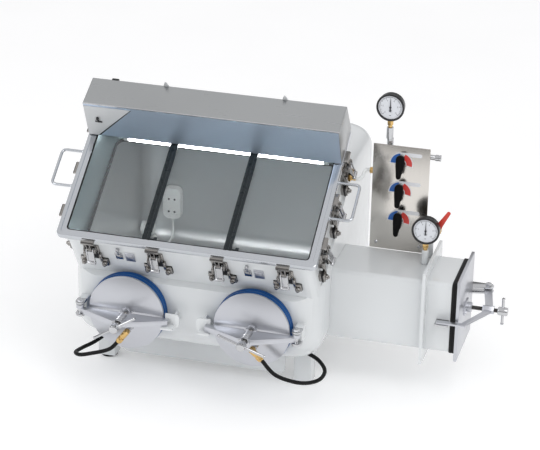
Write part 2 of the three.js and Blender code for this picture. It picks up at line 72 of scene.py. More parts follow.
def middle_of(node):
    """The x, y and z of the middle of a CAD node's box, in the same way."""
    low, high = span(node)
    return tuple((low[i] + high[i]) / 2 for i in range(3))


def axes(x, y, z, at=(0, 0, 0)):
    """The matrix of a set of axes with these directions and this origin."""
    turn = Matrix([x, y, z]).transposed().to_4x4()
    return Matrix.Translation(at) @ turn


TILT = math.radians(34)
SILL_Z = 455
RIGHT = Vector((1, 0, 0))
UPHILL = Vector((0, math.cos(TILT), math.sin(TILT)))
OUTWARD = Vector((0, -math.sin(TILT), math.cos(TILT)))
ON_WINDOW = axes(RIGHT, UPHILL, OUTWARD, (0, 0, SILL_Z))
FACING_FRONT = axes((1, 0, 0), (0, 0, 1), (0, -1, 0))  # its own z comes towards the user
FACING_RIGHT = axes((0, 1, 0), (0, 0, 1), (1, 0, 0))  # its own z runs to the right
HERE = Matrix.Identity(4)

WALL = 5
SLOPE = 453  # the window frame's length up the slope
SLOPE_MIDDLE = SLOPE / 2
FRAME_HALF = 360
FRAME_T = 16
NECK_HALF = 343
NECK_FOOT = 170
NECK_R = 30
NECK_LENGTH = SLOPE - 14
FRAME_HOLE = (672, 409)
PANE = (668, 405)
CHAMBER_LOW = Vector((-350, 85, 120))
CHAMBER_HIGH = Vector((350, 775, 585))
CORNER_R = 80  # the chamber's upright edges
EDGE_R = 60  # the edges round its top and foot
PORT_X = 177
PORT_Z = 225
PORT_RING_R = 92
PORT_HOLE_R = 80

SHARP_ANGLE = math.radians(32)  # edges over this angle stay sharp
CUT_SHARP_ANGLE = math.radians(28)  # the same for the cut and joined shell


# ---------------------------------------------------------------- mesh helpers
def skin(bm, loops, closed=False):
    """Quads through loops that have the same number of points, with flat ends unless closed."""
    rings = [[bm.verts.new(point) for point in loop] for loop in loops]
    pairs = list(zip(rings, rings[1:]))
    if closed:
        pairs.append((rings[-1], rings[0]))
    for low, high in pairs:
        count = len(low)
        for i in range(count):
            bm.faces.new((low[i], low[(i + 1) % count], high[(i + 1) % count], high[i]))
    if not closed:
        bm.faces.new(reversed(rings[0]))
        bm.faces.new(rings[-1])
    return rings


def turned(bm, start, end, profile, sides=40, closed=False):
    """A turned piece on the line from start to end. The profile is (distance, radius) pairs."""
    start, end = Vector(start), Vector(end)
    along = (end - start).normalized()
    across = along.orthogonal().normalized()
    other = along.cross(across)
    turns = [2 * math.pi * i / sides for i in range(sides)]
    spokes = [across * math.cos(a) + other * math.sin(a) for a in turns]
    skin(bm, [[start + along * t + spoke * r for spoke in spokes] for t, r in profile], closed)


def cube(bm, low, high):
    """A plain box between two corners. Gives back its vertices."""
    low, high = Vector(low), Vector(high)
    verts = bmesh.ops.create_cube(bm, size=1)["verts"]
    for vert in verts:
        vert.co = Vector(((low[i] + high[i]) / 2 + vert.co[i] * (high[i] - low[i]) for i in range(3)))
    return verts


def rod(bm, start, end, radius, soft=0.8, sides=32):
    """A round bar with softened rims."""
    length = (Vector(end) - Vector(start)).length
    near = soft * 0.3
    rim = [(0, radius - soft), (near, radius - near), (soft, radius)]
    turned(bm, start, end, [*rim, *[(length - t, r) for t, r in reversed(rim)]], sides)


def hexagon(bm, start, end, radius):
    """A hexagonal nut or collar."""
    rod(bm, start, end, radius, 0.7, sides=6)


def slab(bm, low, high, soft=1.0, place=HERE, segments=2):
    """A box between two corners, with all its edges rounded."""
    made = cube(bm, low, high)
    edges = list({edge for vert in made for edge in vert.link_edges})
    bevelled = bmesh.ops.bevel(
        bm, geom=edges, offset=soft, segments=segments, profile=0.5, affect="EDGES", clamp_overlap=True)
    verts = {v for v in made if v.is_valid} | set(bevelled["verts"])
    for vert in verts:
        vert.co = place @ vert.co


def prism(bm, outline, low, high, soft=0.6, place=HERE):
    """A flat outline raised between two heights, with rounded rims."""
    loops = [[place @ Vector((x, y, z)) for x, y in outline] for z in (low, high)]
    rings = skin(bm, loops)
    rims = [bm.edges.get((ring[i - 1], ring[i])) for ring in rings for i in range(len(ring))]
    if soft:
        bmesh.ops.bevel(bm, geom=rims, offset=soft, segments=2, profile=0.5, affect="EDGES")


def arc(middle, radius, start, end, steps=8):
    """Points on an arc, by angles in degrees."""
    turns = [math.radians(start + (end - start) * i / steps) for i in range(steps + 1)]
    return [(middle[0] + radius * math.cos(a), middle[1] + radius * math.sin(a)) for a in turns]


def rounded(width, height, radius, middle=(0, 0), steps=8):
    """The outline of a rectangle with round corners."""
    x, y = width / 2 - radius, height / 2 - radius
    corners = [(x, y, 0), (-x, y, 90), (-x, -y, 180), (x, -y, 270)]
    return [point for cx, cy, turn in corners for point in arc(
        (middle[0] + cx, middle[1] + cy), radius, turn, turn + 90, steps)]


def ring(bm, levels, place):
    """A closed ring through rounded outlines. A level is (width, height, radius, middle, depth)."""
    skin(bm, [[place @ Vector((x, y, depth)) for x, y in rounded(w, h, r, middle)]
              for w, h, r, middle, depth in levels], closed=True)


def smooth_path(points, steps):
    """A centripetal Catmull-Rom curve through the points, as many short steps."""
    points = [Vector(p) for p in points]
    before = points[0] * 2 - points[1]
    after = points[-1] * 2 - points[-2]
    chain = [before, *points, after]
    path = []
    for p0, p1, p2, p3 in zip(chain, chain[1:], chain[2:], chain[3:]):
        t1 = math.sqrt((p1 - p0).length)
        t2 = t1 + math.sqrt((p2 - p1).length)
        t3 = t2 + math.sqrt((p3 - p2).length)
        for i in range(steps):
            t = t1 + (t2 - t1) * i / steps
            a1 = p0.lerp(p1, t / t1)
            a2 = p1.lerp(p2, (t - t1) / (t2 - t1))
            a3 = p2.lerp(p3, (t - t2) / (t3 - t2))
            b1 = a1.lerp(a2, t / t2)
            b2 = a2.lerp(a3, (t - t1) / (t3 - t1))
            path.append(b1.lerp(b2, (t - t1) / (t2 - t1)))
    return [*path, points[-1]]


def sweep(bm, path, radius, sides=16, ends=()):
    """A round section along a path. ends gives the radii of the first and last few steps."""
    forward = [(b - a).normalized() for a, b in zip(path, path[1:])]
    forward.append(forward[-1])
    side = forward[0].orthogonal().normalized()
    turns = [2 * math.pi * i / sides for i in range(sides)]
    loops = []
    for i, (point, ahead) in enumerate(zip(path, forward)):
        behind = forward[i - 1] if i else ahead
        mitre = (ahead + behind).normalized()
        side = (side - mitre * side.dot(mitre)).normalized()
        other = mitre.cross(side)
        from_end = min(i, len(path) - 1 - i)
        r = ends[from_end] if from_end < len(ends) else radius
        loops.append([point + (side * math.cos(a) + other * math.sin(a)) * r for a in turns])
    skin(bm, loops)


def bent_rod(bm, corners, radius, bend, sides=16, steps=6):
    """A rod bent at each inner corner with the given bend radius."""
    corners = [Vector(c) for c in corners]
    path = [corners[0]]
    for before, here, after in zip(corners, corners[1:], corners[2:]):
        to_before = (before - here).normalized()
        to_after = (after - here).normalized()
        half = to_before.angle(to_after) / 2
        reach = bend / math.tan(half)
        start, end = here + to_before * reach, here + to_after * reach
        for i in range(steps + 1):
            t = i / steps
            path.append(start.lerp(here, t).lerp(here.lerp(end, t), t))
    path.append(corners[-1])
    sweep(bm, path, radius, sides)


def build(name, bm, place=TO_FRAME):
    """A mesh object from a bmesh, smooth except over sharp edges."""
    bm.transform(place)
    bmesh.ops.recalc_face_normals(bm, faces=bm.faces)
    mesh = bpy.data.meshes.new(name)
    bm.to_mesh(mesh)
    bm.free()
    mesh.shade_smooth()
    mesh.set_sharp_from_angle(angle=SHARP_ANGLE)
    obj = bpy.data.objects.new(name, mesh)
    bpy.context.scene.collection.objects.link(obj)
    return obj


def piece(name, bm, material, body="chamber", stands_for=()):
    """A finished piece that moves with a body and stands for the named CAD nodes."""
    finish_piece(build(name, bm), material, body, stands_for)


def finish_piece(obj, material, body="chamber", stands_for=()):
    """Gives an object its material and body, and hides the CAD nodes that it stands for."""
    if not obj.data.materials:
        obj.data.materials.append(material)
    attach(obj, body)
    if stands_for:
        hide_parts(*stands_for)


def combined(name, first, steps):
    """first cut by or joined with other bmeshes, each given as (operation, bmesh, material)."""
    target = build(name, first[0], HERE)
    target.data.materials.append(first[1])
    for i, (operation, bm, material) in enumerate(steps):
        tool = build(f"{name}_tool_{i}", bm, HERE)
        tool.data.materials.append(material)
        change = target.modifiers.new("change", "BOOLEAN")
        change.operation = operation
        change.object = tool
        change.solver = "EXACT"
        change.material_mode = "TRANSFER"
        bpy.context.view_layer.update()
        evaluated = target.evaluated_get(bpy.context.evaluated_depsgraph_get())
        mesh = bpy.data.meshes.new_from_object(evaluated)
        target.modifiers.clear()
        target.data = mesh
        bpy.data.objects.remove(tool)
    target.data.transform(TO_FRAME)
    target.data.shade_smooth()
    target.data.set_sharp_from_angle(angle=CUT_SHARP_ANGLE)
    return target


# ---------------------------------------------------------------- material helpers
MIX_SHARE, MIX_FIRST, MIX_SECOND, MIX_RESULT = 0, 6, 7, 2  # a colour mix node's sockets
COAT_ROUGHNESS = 0.08


def new_material(name):
    """A new material with its node tree and its shader."""
    material = bpy.data.materials.new(name)
    material.use_nodes = True
    return material, material.node_tree, material.node_tree.nodes["Principled BSDF"]


def grain(tree, scale, low, high, stretch=(1, 1, 1), detail=4.0):
    """Noise in the object's own space, spread between two values."""
    where = tree.nodes.new("ShaderNodeTexCoord")
    mapping = tree.nodes.new("ShaderNodeMapping")
    mapping.inputs["Scale"].default_value = stretch
    noise = tree.nodes.new("ShaderNodeTexNoise")
    noise.inputs["Scale"].default_value = scale
    noise.inputs["Detail"].default_value = detail
    spread = tree.nodes.new("ShaderNodeMapRange")
    spread.inputs["From Min"].default_value = 0.3
    spread.inputs["From Max"].default_value = 0.7
    spread.inputs["To Min"].default_value = low
    spread.inputs["To Max"].default_value = high
    tree.links.new(where.outputs["Object"], mapping.inputs["Vector"])
    tree.links.new(mapping.outputs["Vector"], noise.inputs["Vector"])
    tree.links.new(noise.outputs["Fac"], spread.inputs["Value"])
    return spread.outputs["Result"]


def colour_between(tree, share, first, second):
    """A mix of two colours by a share. The first may be a plain colour or a socket."""
    mix = tree.nodes.new("ShaderNodeMix")
    mix.data_type = "RGBA"
    if isinstance(first, tuple):
        mix.inputs[MIX_FIRST].default_value = (*first, 1)
    else:
        tree.links.new(first, mix.inputs[MIX_FIRST])
    mix.inputs[MIX_SECOND].default_value = (*second, 1)
    tree.links.new(share, mix.inputs[MIX_SHARE])
    return mix.outputs[MIX_RESULT]


def worn_edges(tree):
    """How close a point is to a convex edge, broken up by noise."""
    soft = tree.nodes.new("ShaderNodeBevel")
    soft.samples = 3
    soft.inputs["Radius"].default_value = 0.0012
    shape = tree.nodes.new("ShaderNodeNewGeometry")
    same = tree.nodes.new("ShaderNodeVectorMath")
    same.operation = "DOT_PRODUCT"
    near = tree.nodes.new("ShaderNodeMapRange")
    near.inputs["From Min"].default_value = 0.97
    near.inputs["From Max"].default_value = 0.80
    broken = tree.nodes.new("ShaderNodeMath")
    broken.operation = "MULTIPLY"
    tree.links.new(soft.outputs["Normal"], same.inputs[0])
    tree.links.new(shape.outputs["Normal"], same.inputs[1])
    tree.links.new(same.outputs["Value"], near.inputs["Value"])
    tree.links.new(near.outputs["Result"], broken.inputs[0])
    tree.links.new(grain(tree, 150, 0.2, 0.8), broken.inputs[1])
    return broken.outputs["Value"]


def rough_surface(tree, bsdf, height, strength, distance):
    """Bumps in a shader's normal from a height socket."""
    bump = tree.nodes.new("ShaderNodeBump")
    bump.inputs["Strength"].default_value = strength
    bump.inputs["Distance"].default_value = distance
    tree.links.new(height, bump.inputs["Height"])
    tree.links.new(bump.outputs["Normal"], bsdf.inputs["Normal"])


def surface(name, tint, roughness, metallic=0.0, shade=0.92, spread=0.05, scale=30,
            stretch=(1, 1, 1), bump=(0.1, 0.0005), coat=0.0, shine=0.5):
    """A material whose colour, roughness and height vary with a fine, possibly stretched grain.

    Its convex edges are rubbed a little brighter.
    """
    material, tree, bsdf = new_material(name)
    bsdf.inputs["Metallic"].default_value = metallic
    bsdf.inputs["Coat Weight"].default_value = coat
    bsdf.inputs["Coat Roughness"].default_value = COAT_ROUGHNESS
    bsdf.inputs["Specular IOR Level"].default_value = shine
    darker = tuple(channel * shade for channel in tint)
    worn = tuple(min(1, channel * 1.15 + 0.01) for channel in tint)
    body_tint = colour_between(tree, grain(tree, 3, 0, 1, detail=2), darker, tint)
    rubbed = colour_between(tree, worn_edges(tree), body_tint, worn)
    tree.links.new(rubbed, bsdf.inputs["Base Color"])
    fine = grain(tree, scale, roughness - spread, roughness + spread, stretch)
    tree.links.new(fine, bsdf.inputs["Roughness"])
    rough_surface(tree, bsdf, grain(tree, scale * 4, 0, 1, stretch), *bump)
    return material


def glass_material():
    """Clear plate glass that lets light and shadow through."""
    material, tree, bsdf = new_material("plate_glass")
    # At this low alpha the pale base colour lays a faint whitish veil over the view, a painted reflection
    # of the white surroundings.
    bsdf.inputs["Alpha"].default_value = 0.05
    bsdf.inputs["IOR"].default_value = 1.45
    tint = colour_between(tree, grain(tree, 4, 0, 1), (0.80, 0.85, 0.88), (0.88, 0.91, 0.93))
    tree.links.new(tint, bsdf.inputs["Base Color"])
    tree.links.new(grain(tree, 20, 0.02, 0.06), bsdf.inputs["Roughness"])
    return material


def clear_tube_material():
    """The milky clear plastic of a gas tube."""
    material, tree, bsdf = new_material("clear_tube")
    bsdf.inputs["Alpha"].default_value = 0.45
    tint = colour_between(tree, grain(tree, 60, 0, 1), (0.78, 0.82, 0.82), (0.92, 0.94, 0.94))
    tree.links.new(tint, bsdf.inputs["Base Color"])
    tree.links.new(grain(tree, 80, 0.1, 0.2), bsdf.inputs["Roughness"])
    return material


def lamp_material():
    """An opal lamp that is lit."""
    material, tree, bsdf = new_material("lit_lamp")
    bsdf.inputs["Emission Strength"].default_value = 20.0
    glow = colour_between(tree, grain(tree, 10, 0, 1), (0.93, 0.96, 1.0), (1.0, 1.0, 1.0))
    tree.links.new(glow, bsdf.inputs["Emission Color"])
    tree.links.new(glow, bsdf.inputs["Base Color"])
    tree.links.new(grain(tree, 30, 0.3, 0.4), bsdf.inputs["Roughness"])
    return material


def sheet_steel(name, tint, roughness, stretch, **more):
    """Stainless sheet with the long scratches that polishing leaves."""
    return surface(name, tint, roughness, metallic=1.0, stretch=stretch, scale=60,
                   bump=(0.006, 0.0001), **more)


def turned_steel(name, tint, roughness, shade):
    """Machined or plated steel, for small fittings."""
    return surface(name, tint, roughness, metallic=1.0, shade=shade, spread=0.04, scale=50,
                   bump=(0.008, 0.0001))


ENAMEL = surface("white_enamel", (0.70, 0.72, 0.73), 0.22, shade=0.975, spread=0.03,
                 scale=25, bump=(0.03, 0.0003), coat=0.3)
LINER = sheet_steel("liner_steel", (0.66, 0.675, 0.675), 0.36, (1, 1, 0.3), shade=0.9, spread=0.01)
# Polished steel tinted teal: painted reflection, the neck walls as they look through the greenish glass.
NECK_STEEL_PAINTED_REFLECTION = sheet_steel("neck_steel_painted_reflection", (0.60, 0.74, 0.77), 0.30, (1, 1, 0.3), spread=0.01)
FRAME_STEEL = sheet_steel("frame_steel", (0.56, 0.58, 0.61), 0.17, (0.3, 3, 3), spread=0.03)
BRIGHT = turned_steel("bright_steel", (0.58, 0.585, 0.60), 0.13, 0.8)
# Darker brownish steel: partly the latches' own tint, partly painted shade and dark reflection on their
# bright metal.
LATCH_STEEL = turned_steel("latch_steel", (0.36, 0.345, 0.33), 0.16, 0.7)
THREAD_STEEL = turned_steel("thread_steel", (0.16, 0.155, 0.15), 0.24, 0.6)
HOOD_STEEL = sheet_steel("hood_steel", (0.42, 0.43, 0.435), 0.30, (0.15, 3, 3), spread=0.03)
# Polished steel with a blue-grey tint that is painted reflection of the chamber's dark, bluish inside.
MIRROR_STEEL_PAINTED_REFLECTION = sheet_steel("mirror_steel_painted_reflection", (0.57, 0.65, 0.77), 0.42, (0.2, 2, 2), spread=0.02)
COVER_STEEL = surface("cover_steel", (0.555, 0.565, 0.60), 0.30, metallic=0.95, spread=0.01,
                      scale=90, bump=(0.004, 0.0001), shade=0.96)
PANEL_STEEL = sheet_steel("panel_steel", (0.69, 0.66, 0.62), 0.20, (3, 3, 0.2), spread=0.02)
BRASS = surface("brass", (0.75, 0.50, 0.20), 0.22, metallic=1.0, scale=60, shade=0.7)
BLACK_RUBBER = surface("black_rubber", (0.010, 0.010, 0.011), 0.55, shade=0.6, scale=120,
                       bump=(0.2, 0.0004), shine=0.25)
HOSE_RUBBER = surface("hose_rubber", (0.004, 0.004, 0.0045), 0.42, shade=0.5, scale=160,
                      bump=(0.1, 0.0003), shine=0.2)
BLACK_PLASTIC = surface("black_plastic", (0.005, 0.005, 0.0055), 0.42, shade=0.6, scale=140,
                        bump=(0.15, 0.0003), shine=0.08)
GREY_PAINT = surface("grey_paint", (0.55, 0.56, 0.57), 0.35, shade=0.95, scale=60)
BLACK_PAINT = surface("black_paint", (0.012, 0.012, 0.014), 0.30, shade=0.6, scale=90)
DARK_BAR = surface("dark_bar", (0.02, 0.028, 0.032), 0.30, metallic=0.4, shade=0.6, scale=80)
BLUE_RUBBER = surface("blue_rubber", (0.002, 0.075, 0.27), 0.45, shade=0.8, scale=90,
                      bump=(0.12, 0.0004), shine=0.25)
RED_COAT = surface("red_coat", (0.72, 0.055, 0.035), 0.35, shade=0.8, scale=90)
DIAL_WHITE = surface("dial_white", (0.74, 0.76, 0.80), 0.45, shade=0.96, scale=90)
INK = surface("dial_ink", (0.02, 0.02, 0.03), 0.5, shade=0.6, scale=150)
LABEL_BLUE = surface("label_blue", (0.01, 0.13, 0.50), 0.4, shade=0.85, scale=90)
LABEL_RED = surface("label_red", (0.75, 0.06, 0.05), 0.4, shade=0.85, scale=90)
LABEL_WHITE = surface("label_white", (0.74, 0.75, 0.78), 0.4, shade=0.95, scale=90)
WHITE_PLASTIC = surface("white_plastic", (0.88, 0.89, 0.87), 0.30, shade=0.95, scale=90)
GLASS = glass_material()
CLEAR_TUBE = clear_tube_material()
LAMP = lamp_material()


# ---------------------------------------------------------------- camera and hoses
CAMERA_AT = (1.3906, -5.6041, 2.9333)
CAMERA_ANGLES = (14.49, 23.63, 1.38)  # degrees round to the right, up, and rolled
LENS = 151.6


def add_camera():
    """A long lens from the front right and above, rolled slightly."""
    azimuth, elevation, roll = (math.radians(angle) for angle in CAMERA_ANGLES)
    ahead = Vector((-math.sin(azimuth) * math.cos(elevation),
                    math.cos(azimuth) * math.cos(elevation), -math.sin(elevation)))
    sideways = Vector((math.cos(azimuth), math.sin(azimuth), 0))
    upright = sideways.cross(ahead)
    across = sideways * math.cos(roll) + upright * math.sin(roll)
    up = upright * math.cos(roll) - sideways * math.sin(roll)
    data = bpy.data.cameras.new("camera")
    data.sensor_width = 36
    data.lens = LENS
    data.clip_end = 50
    camera = bpy.data.objects.new("camera", data)
    bpy.context.scene.collection.objects.link(camera)
    camera.matrix_world = axes(across, up, -ahead, CAMERA_AT)
    bpy.context.scene.camera = camera


HOSE_R = 5.5
HOSE_ROUTES = {
    "left": [(-184, 5, 159.5), (-209, 4, 132), (-262, 0, 112), (-297, 4, 101), (-315, 24, 96),
             (-309, 60, 93), (-288, 100, 95), (-255, 150, 112)],
    "right": [(217, 5, 164), (256, 3, 126), (307, 20, 103), (340, 60, 86), (361, 100, 82),
              (362, 140, 88), (335, 172, 100), (300, 182, 112)],
}


def add_hose(word):
    """A rubber vacuum hose from a port cover's elbow round to the chamber's underside."""
    path = smooth_path(HOSE_ROUTES[word], 10)
    bm = bmesh.new()
    sweep(bm, path, HOSE_R, 20)
    node = f"port_hose_{word}"
    hose = build(f"hose_{word}", bm)
    hose.data.materials.append(HOSE_RUBBER)
    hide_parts(node)
    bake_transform(hose)


# ---------------------------------------------------------------- chamber and stand
LEG = 50
APRON_WIDTH = 470


def rounded_block(inset):
    """The chamber's box with rounded corners and edges, as a bmesh."""
    def rise(edge):
        return abs(edge.verts[0].co.z - edge.verts[1].co.z)

    step_in = Vector((inset, inset, inset))
    bm = bmesh.new()
    cube(bm, CHAMBER_LOW + step_in, CHAMBER_HIGH - step_in)
    upright = [e for e in bm.edges if rise(e) > 1]
    bmesh.ops.bevel(bm, geom=upright, offset=CORNER_R - inset, segments=14, profile=0.5, affect="EDGES")
    flat = [e for e in bm.edges if rise(e) < 1
            and abs(abs(sum(f.normal.z for f in e.link_faces)) - 1) < 0.2]
    bmesh.ops.bevel(bm, geom=flat, offset=EDGE_R - inset, segments=12, profile=0.5, affect="EDGES")
    return bm


def slope_block(half, length, radius, low, high):
    """A rounded plug standing on the window's slope."""
    bm = bmesh.new()
    prism(bm, rounded(2 * half, length, radius, (0, SLOPE_MIDDLE), 10), low, high, 0, ON_WINDOW)
    return bm


def round_plug(side, front, back, radius):
    """A round plug on a glove port's axis, as a bmesh."""
    x = side * PORT_X
    bm = bmesh.new()
    turned(bm, (x, front, PORT_Z), (x, back, PORT_Z), [(0, radius), (back - front, radius)], 96)
    return bm


def above_slope(depth):
    """A block that takes away all that is less than this deep under the window, as a bmesh."""
    bm = bmesh.new()
    slab(bm, (-500, -500, -depth), (500, 1000, 500), 0.001, ON_WINDOW)
    return bm


def chamber_hollow():
    """The space inside the chamber's walls, as a bmesh."""
    hollow = combined("hollow", (rounded_block(WALL), LINER), [
        ("DIFFERENCE", above_slope(NECK_FOOT + WALL), LINER)])
    hollow.data.transform(TO_FRAME.inverted())
    bm = bmesh.new()
    bm.from_mesh(hollow.data)
    bpy.data.objects.remove(hollow)
    return bm


def pass_box_hole():
    """The opening through the right wall for the pass box, as a bmesh."""
    low, high = span("pass_box_duct")
    _, y, z = middle_of("pass_box_duct")
    bm = bmesh.new()
    outline = rounded(high.y - low.y + 1, high.z - low.z + 1, DUCT_R, (y, z))
    prism(bm, outline, 300, 400, 0, FACING_RIGHT)
    return bm


def add_chamber():
    """The enamelled shell with its neck, port rings and openings, lined with stainless steel."""
    neck_hole = slope_block(
        NECK_HALF - WALL, NECK_LENGTH - 2 * WALL, NECK_R - WALL, -NECK_FOOT - 12, 0)
    steps = [
        ("DIFFERENCE", above_slope(NECK_FOOT), ENAMEL),
        ("UNION", slope_block(NECK_HALF, NECK_LENGTH, NECK_R, -190, -22), ENAMEL),
        ("UNION", slope_block(NECK_HALF + 11, NECK_LENGTH + 8, NECK_R, -29, -20.6), ENAMEL),
        *[("UNION", round_plug(side, 56.3, 128, PORT_RING_R), ENAMEL) for side in (-1, 1)],
        ("DIFFERENCE", chamber_hollow(), LINER),
        # The neck's walls take the teal steel, whose tint is painted reflection.
        ("DIFFERENCE", neck_hole, NECK_STEEL_PAINTED_REFLECTION),
        *[("DIFFERENCE", round_plug(side, 40, 140, PORT_HOLE_R), LINER) for side in (-1, 1)],
        ("DIFFERENCE", pass_box_hole(), LINER),
    ]
    shell = combined("chamber_body", (rounded_block(0), ENAMEL), steps)
    finish_piece(shell, ENAMEL, stands_for=["chamber_shell"])


def add_neck_seam():
    """The dark seam where the neck's steel lining meets the chamber's."""
    width, length = 2 * (NECK_HALF - WALL) - 0.4, NECK_LENGTH - 2 * WALL - 0.4
    middle = (0, SLOPE_MIDDLE)
    outside, inside = (width, length, 25, middle), (width - 8, length - 8, 21, middle)
    low, high = -NECK_FOOT - 5, -NECK_FOOT + 2
    seam = bmesh.new()
    ring(seam, [(*outside, low), (*outside, high), (*inside, high), (*inside, low)], ON_WINDOW)
    piece("neck_seam", seam, BLACK_RUBBER)


def add_stand(node, hang):
    """Two square legs on round rubber pads, joined by a rail with an apron."""
    low, high = span(node)
    middle = (low.x + high.x) / 2
    leg_x = (high.x - low.x) / 2 - LEG / 2
    bm = bmesh.new()
    pads = bmesh.new()
    for side in (-1, 1):
        x = middle + side * leg_x
        slab(bm, (x - LEG / 2, low.y, 6), (x + LEG / 2, low.y + LEG, high.z), 3, segments=3)
        rod(pads, (x, low.y + LEG / 2, 0), (x, low.y + LEG / 2, 7), 23, 1.5)
    slab(bm, (middle - leg_x, low.y + 1, high.z - 6), (middle + leg_x, low.y + 40, high.z), 1)
    lower = [p for p in rounded(APRON_WIDTH, 2 * hang, 16, (middle, 0)) if p[1] < 0]
    outline = [(middle - APRON_WIDTH / 2, 0), *[p for p in lower if p[0] < middle],
               *[p for p in lower if p[0] > middle], (middle + APRON_WIDTH / 2, 0)]
    place = FACING_FRONT @ Matrix.Translation((0, high.z - 1, 0))
    prism(bm, outline, -low.y - 5, -low.y, 1, place)
    piece(f"{node}_welded", bm, ENAMEL, stands_for=[node])
    piece(f"{node}_pads", pads, BLACK_RUBBER)


# ---------------------------------------------------------------- window and hood
HANDLE_S = (163, 278)  # the ends of each lift handle, up the slope
HANDLE_REACH = 420
HANDLE_DEPTH = -9
HOOD_HALF = 358.5
HOOD_SHEET = 2.0


def level(size, shrink, radius, depth):
    """One level for ring(), shrunk on all sides and centred on the window's slope."""
    return (size[0] - 2 * shrink, size[1] - 2 * shrink, radius, (0, SLOPE_MIDDLE), depth)


def add_window_frame():
    """The stainless frame: an outer flange, a lower clamp strip inside it and two lift handles."""
    outer = (2 * FRAME_HALF, SLOPE)
    bm = bmesh.new()
    ring(bm, [
        level(outer, 1, 13, -FRAME_T), level(outer, 0, 14, -FRAME_T + 1), level(outer, 0, 14, -3),
        level(outer, 0.9, 13.1, -0.9), level(outer, 3, 11, 0), level(outer, 11, 8, 0),
        level(outer, 12, 7, -1.4), level(FRAME_HOLE, -2, 10, -2.2), level(FRAME_HOLE, -0.4, 10, -2.8),
        level(FRAME_HOLE, 0, 10, -4), level(FRAME_HOLE, 0, 10, -FRAME_T + 1),
        level(FRAME_HOLE, -1, 10, -FRAME_T)], ON_WINDOW)
    foot, top = HANDLE_S
    for side in (-1, 1):
        edge, far = side * (FRAME_HALF - 3), side * HANDLE_REACH
        corners = [(edge, foot), (far, foot), (far, top), (edge, top)]
        bent_rod(bm, [ON_WINDOW @ Vector((*c, HANDLE_DEPTH)) for c in corners], 4, 14, 20, 8)
        for s in HANDLE_S:
            start = ON_WINDOW @ Vector((side * (FRAME_HALF - 1), s, HANDLE_DEPTH))
            rod(bm, start, start + RIGHT * side * 4, 6, 1, 24)
    piece("frame_welded", bm, FRAME_STEEL, stands_for=["window_frame"])


def add_window_glass():
    """The glass pane and the thin dark seal round it."""
    seal = bmesh.new()
    ring(seal, [level(FRAME_HOLE, 0.3, 10, -4.5), level(FRAME_HOLE, 3.2, 8, -4.7),
                level(FRAME_HOLE, 3.2, 8, -6.2), level(FRAME_HOLE, 0.3, 10, -6.2)], ON_WINDOW)
    piece("glass_seal", seal, BLACK_RUBBER)
    glass = bmesh.new()
    prism(glass, rounded(*PANE, 8, (0, SLOPE_MIDDLE)), -14, -6.3, 0.5, ON_WINDOW)
    piece("window_pane", glass, GLASS, stands_for=["window_glass"])


def add_window_gasket():
    """The rubber gasket between the frame and the neck."""
    gasket = bmesh.new()
    wide = (704, SLOPE - 10)
    inside = (2 * (NECK_HALF - WALL), SLOPE - 24)
    ring(gasket, [
        level(wide, 0.8, 25, -20.3), level(wide, 0, 26, -19.6), level(wide, 0, 26, -17),
        level(wide, 0.8, 25, -16.3), level(inside, -0.8, 24, -16.3), level(inside, 0, 24, -17),
        level(inside, 0, 24, -19.6), level(inside, -0.8, 24, -20.3)], ON_WINDOW)
    piece("neck_gasket", gasket, BLACK_RUBBER, stands_for=["window_gasket"])


def add_mullion(word):
    """A dark bar over the glass, with a shallow groove along it."""
    low, high = span(f"mullion_{word}")
    x = (low.x + high.x) / 2
    groove = [(-11, -6), (11, -6), (11, -1.6), (10.4, -1), (3.2, -1), (2.4, -2.6), (-2.4, -2.6),
              (-3.2, -1), (-10.4, -1), (-11, -1.6)]
    bm = bmesh.new()
    skin(bm, [[ON_WINDOW @ Vector((x + dx, s, depth)) for dx, depth in groove] for s in (23, 430)])
    slab(bm, (x + 11, 24, -6), (x + 24, 27, -2), 0.5, ON_WINDOW)
    slab(bm, (x + 20, 24, -6), (x + 30, 34, -4), 0.8, ON_WINDOW)
    piece(f"glazing_bar_{word}", bm, DARK_BAR, stands_for=[f"mullion_{word}"])


def add_hood_gusset():
    """The grey corner plate on the left of the hood's front face, with a dark seal along its edge."""
    on_face = ON_WINDOW @ axes((1, 0, 0), (0, 0.159, 0.987), (0, -0.987, 0.159), (0, 333, 0.3))
    left, foot, top, high = -357, -328, -223, 111
    plate = bmesh.new()
    prism(plate, [(left, 2), (foot, 2), (top, high), (left, high)], 0.9, 1.7, 0.2, on_face)
    piece("hood_gusset", plate, GREY_PAINT)
    seal = bmesh.new()
    prism(seal, [(foot - 1, 2), (foot + 4, 2), (top + 2, high), (top - 1, high)], 0.9, 2.2, 0.2, on_face)
    piece("hood_gusset_seal", seal, BLACK_RUBBER)


def add_hood():
    """The lamp hood: folded sheet steel with a hem, mirror bright on its front face."""
    outside = [(333, 0.3), (352, 118), (448, 105), (452, 0.3)]
    inside = [(335, 0.3), (353.6, 115.8), (446.2, 103.2), (450, 0.3)]
    lip = [(350.6, 112.5), (351.6, 118.2), (354.5, 118.3), (354.5, 117), (352.4, 116.6), (351.6, 112.3)]
    mirror = [(332.5, 2), (350.9, 116), (351.2, 116), (332.8, 2)]
    place = ON_WINDOW @ FACING_RIGHT
    shell = bmesh.new()
    prism(shell, [*outside, *reversed(inside)], -HOOD_HALF + HOOD_SHEET, HOOD_HALF - HOOD_SHEET, 0.4, place)
    for side in (-1, 1):
        low, high = sorted((side * HOOD_HALF, side * (HOOD_HALF - HOOD_SHEET)))
        prism(shell, outside, low, high, 0.5, place)
    piece("hood_folded", shell, HOOD_STEEL, stands_for=["lamp_hood"])
    hem = bmesh.new()
    prism(hem, lip, -HOOD_HALF, HOOD_HALF, 0.2, place)
    piece("hood_hem", hem, BRIGHT)
    # The front face takes the steel whose blue-grey tint is painted reflection.
    face = bmesh.new()
    prism(face, mirror, -HOOD_HALF + 1.5, HOOD_HALF - 1.5, 0, place)
    piece("hood_mirror", face, MIRROR_STEEL_PAINTED_REFLECTION)


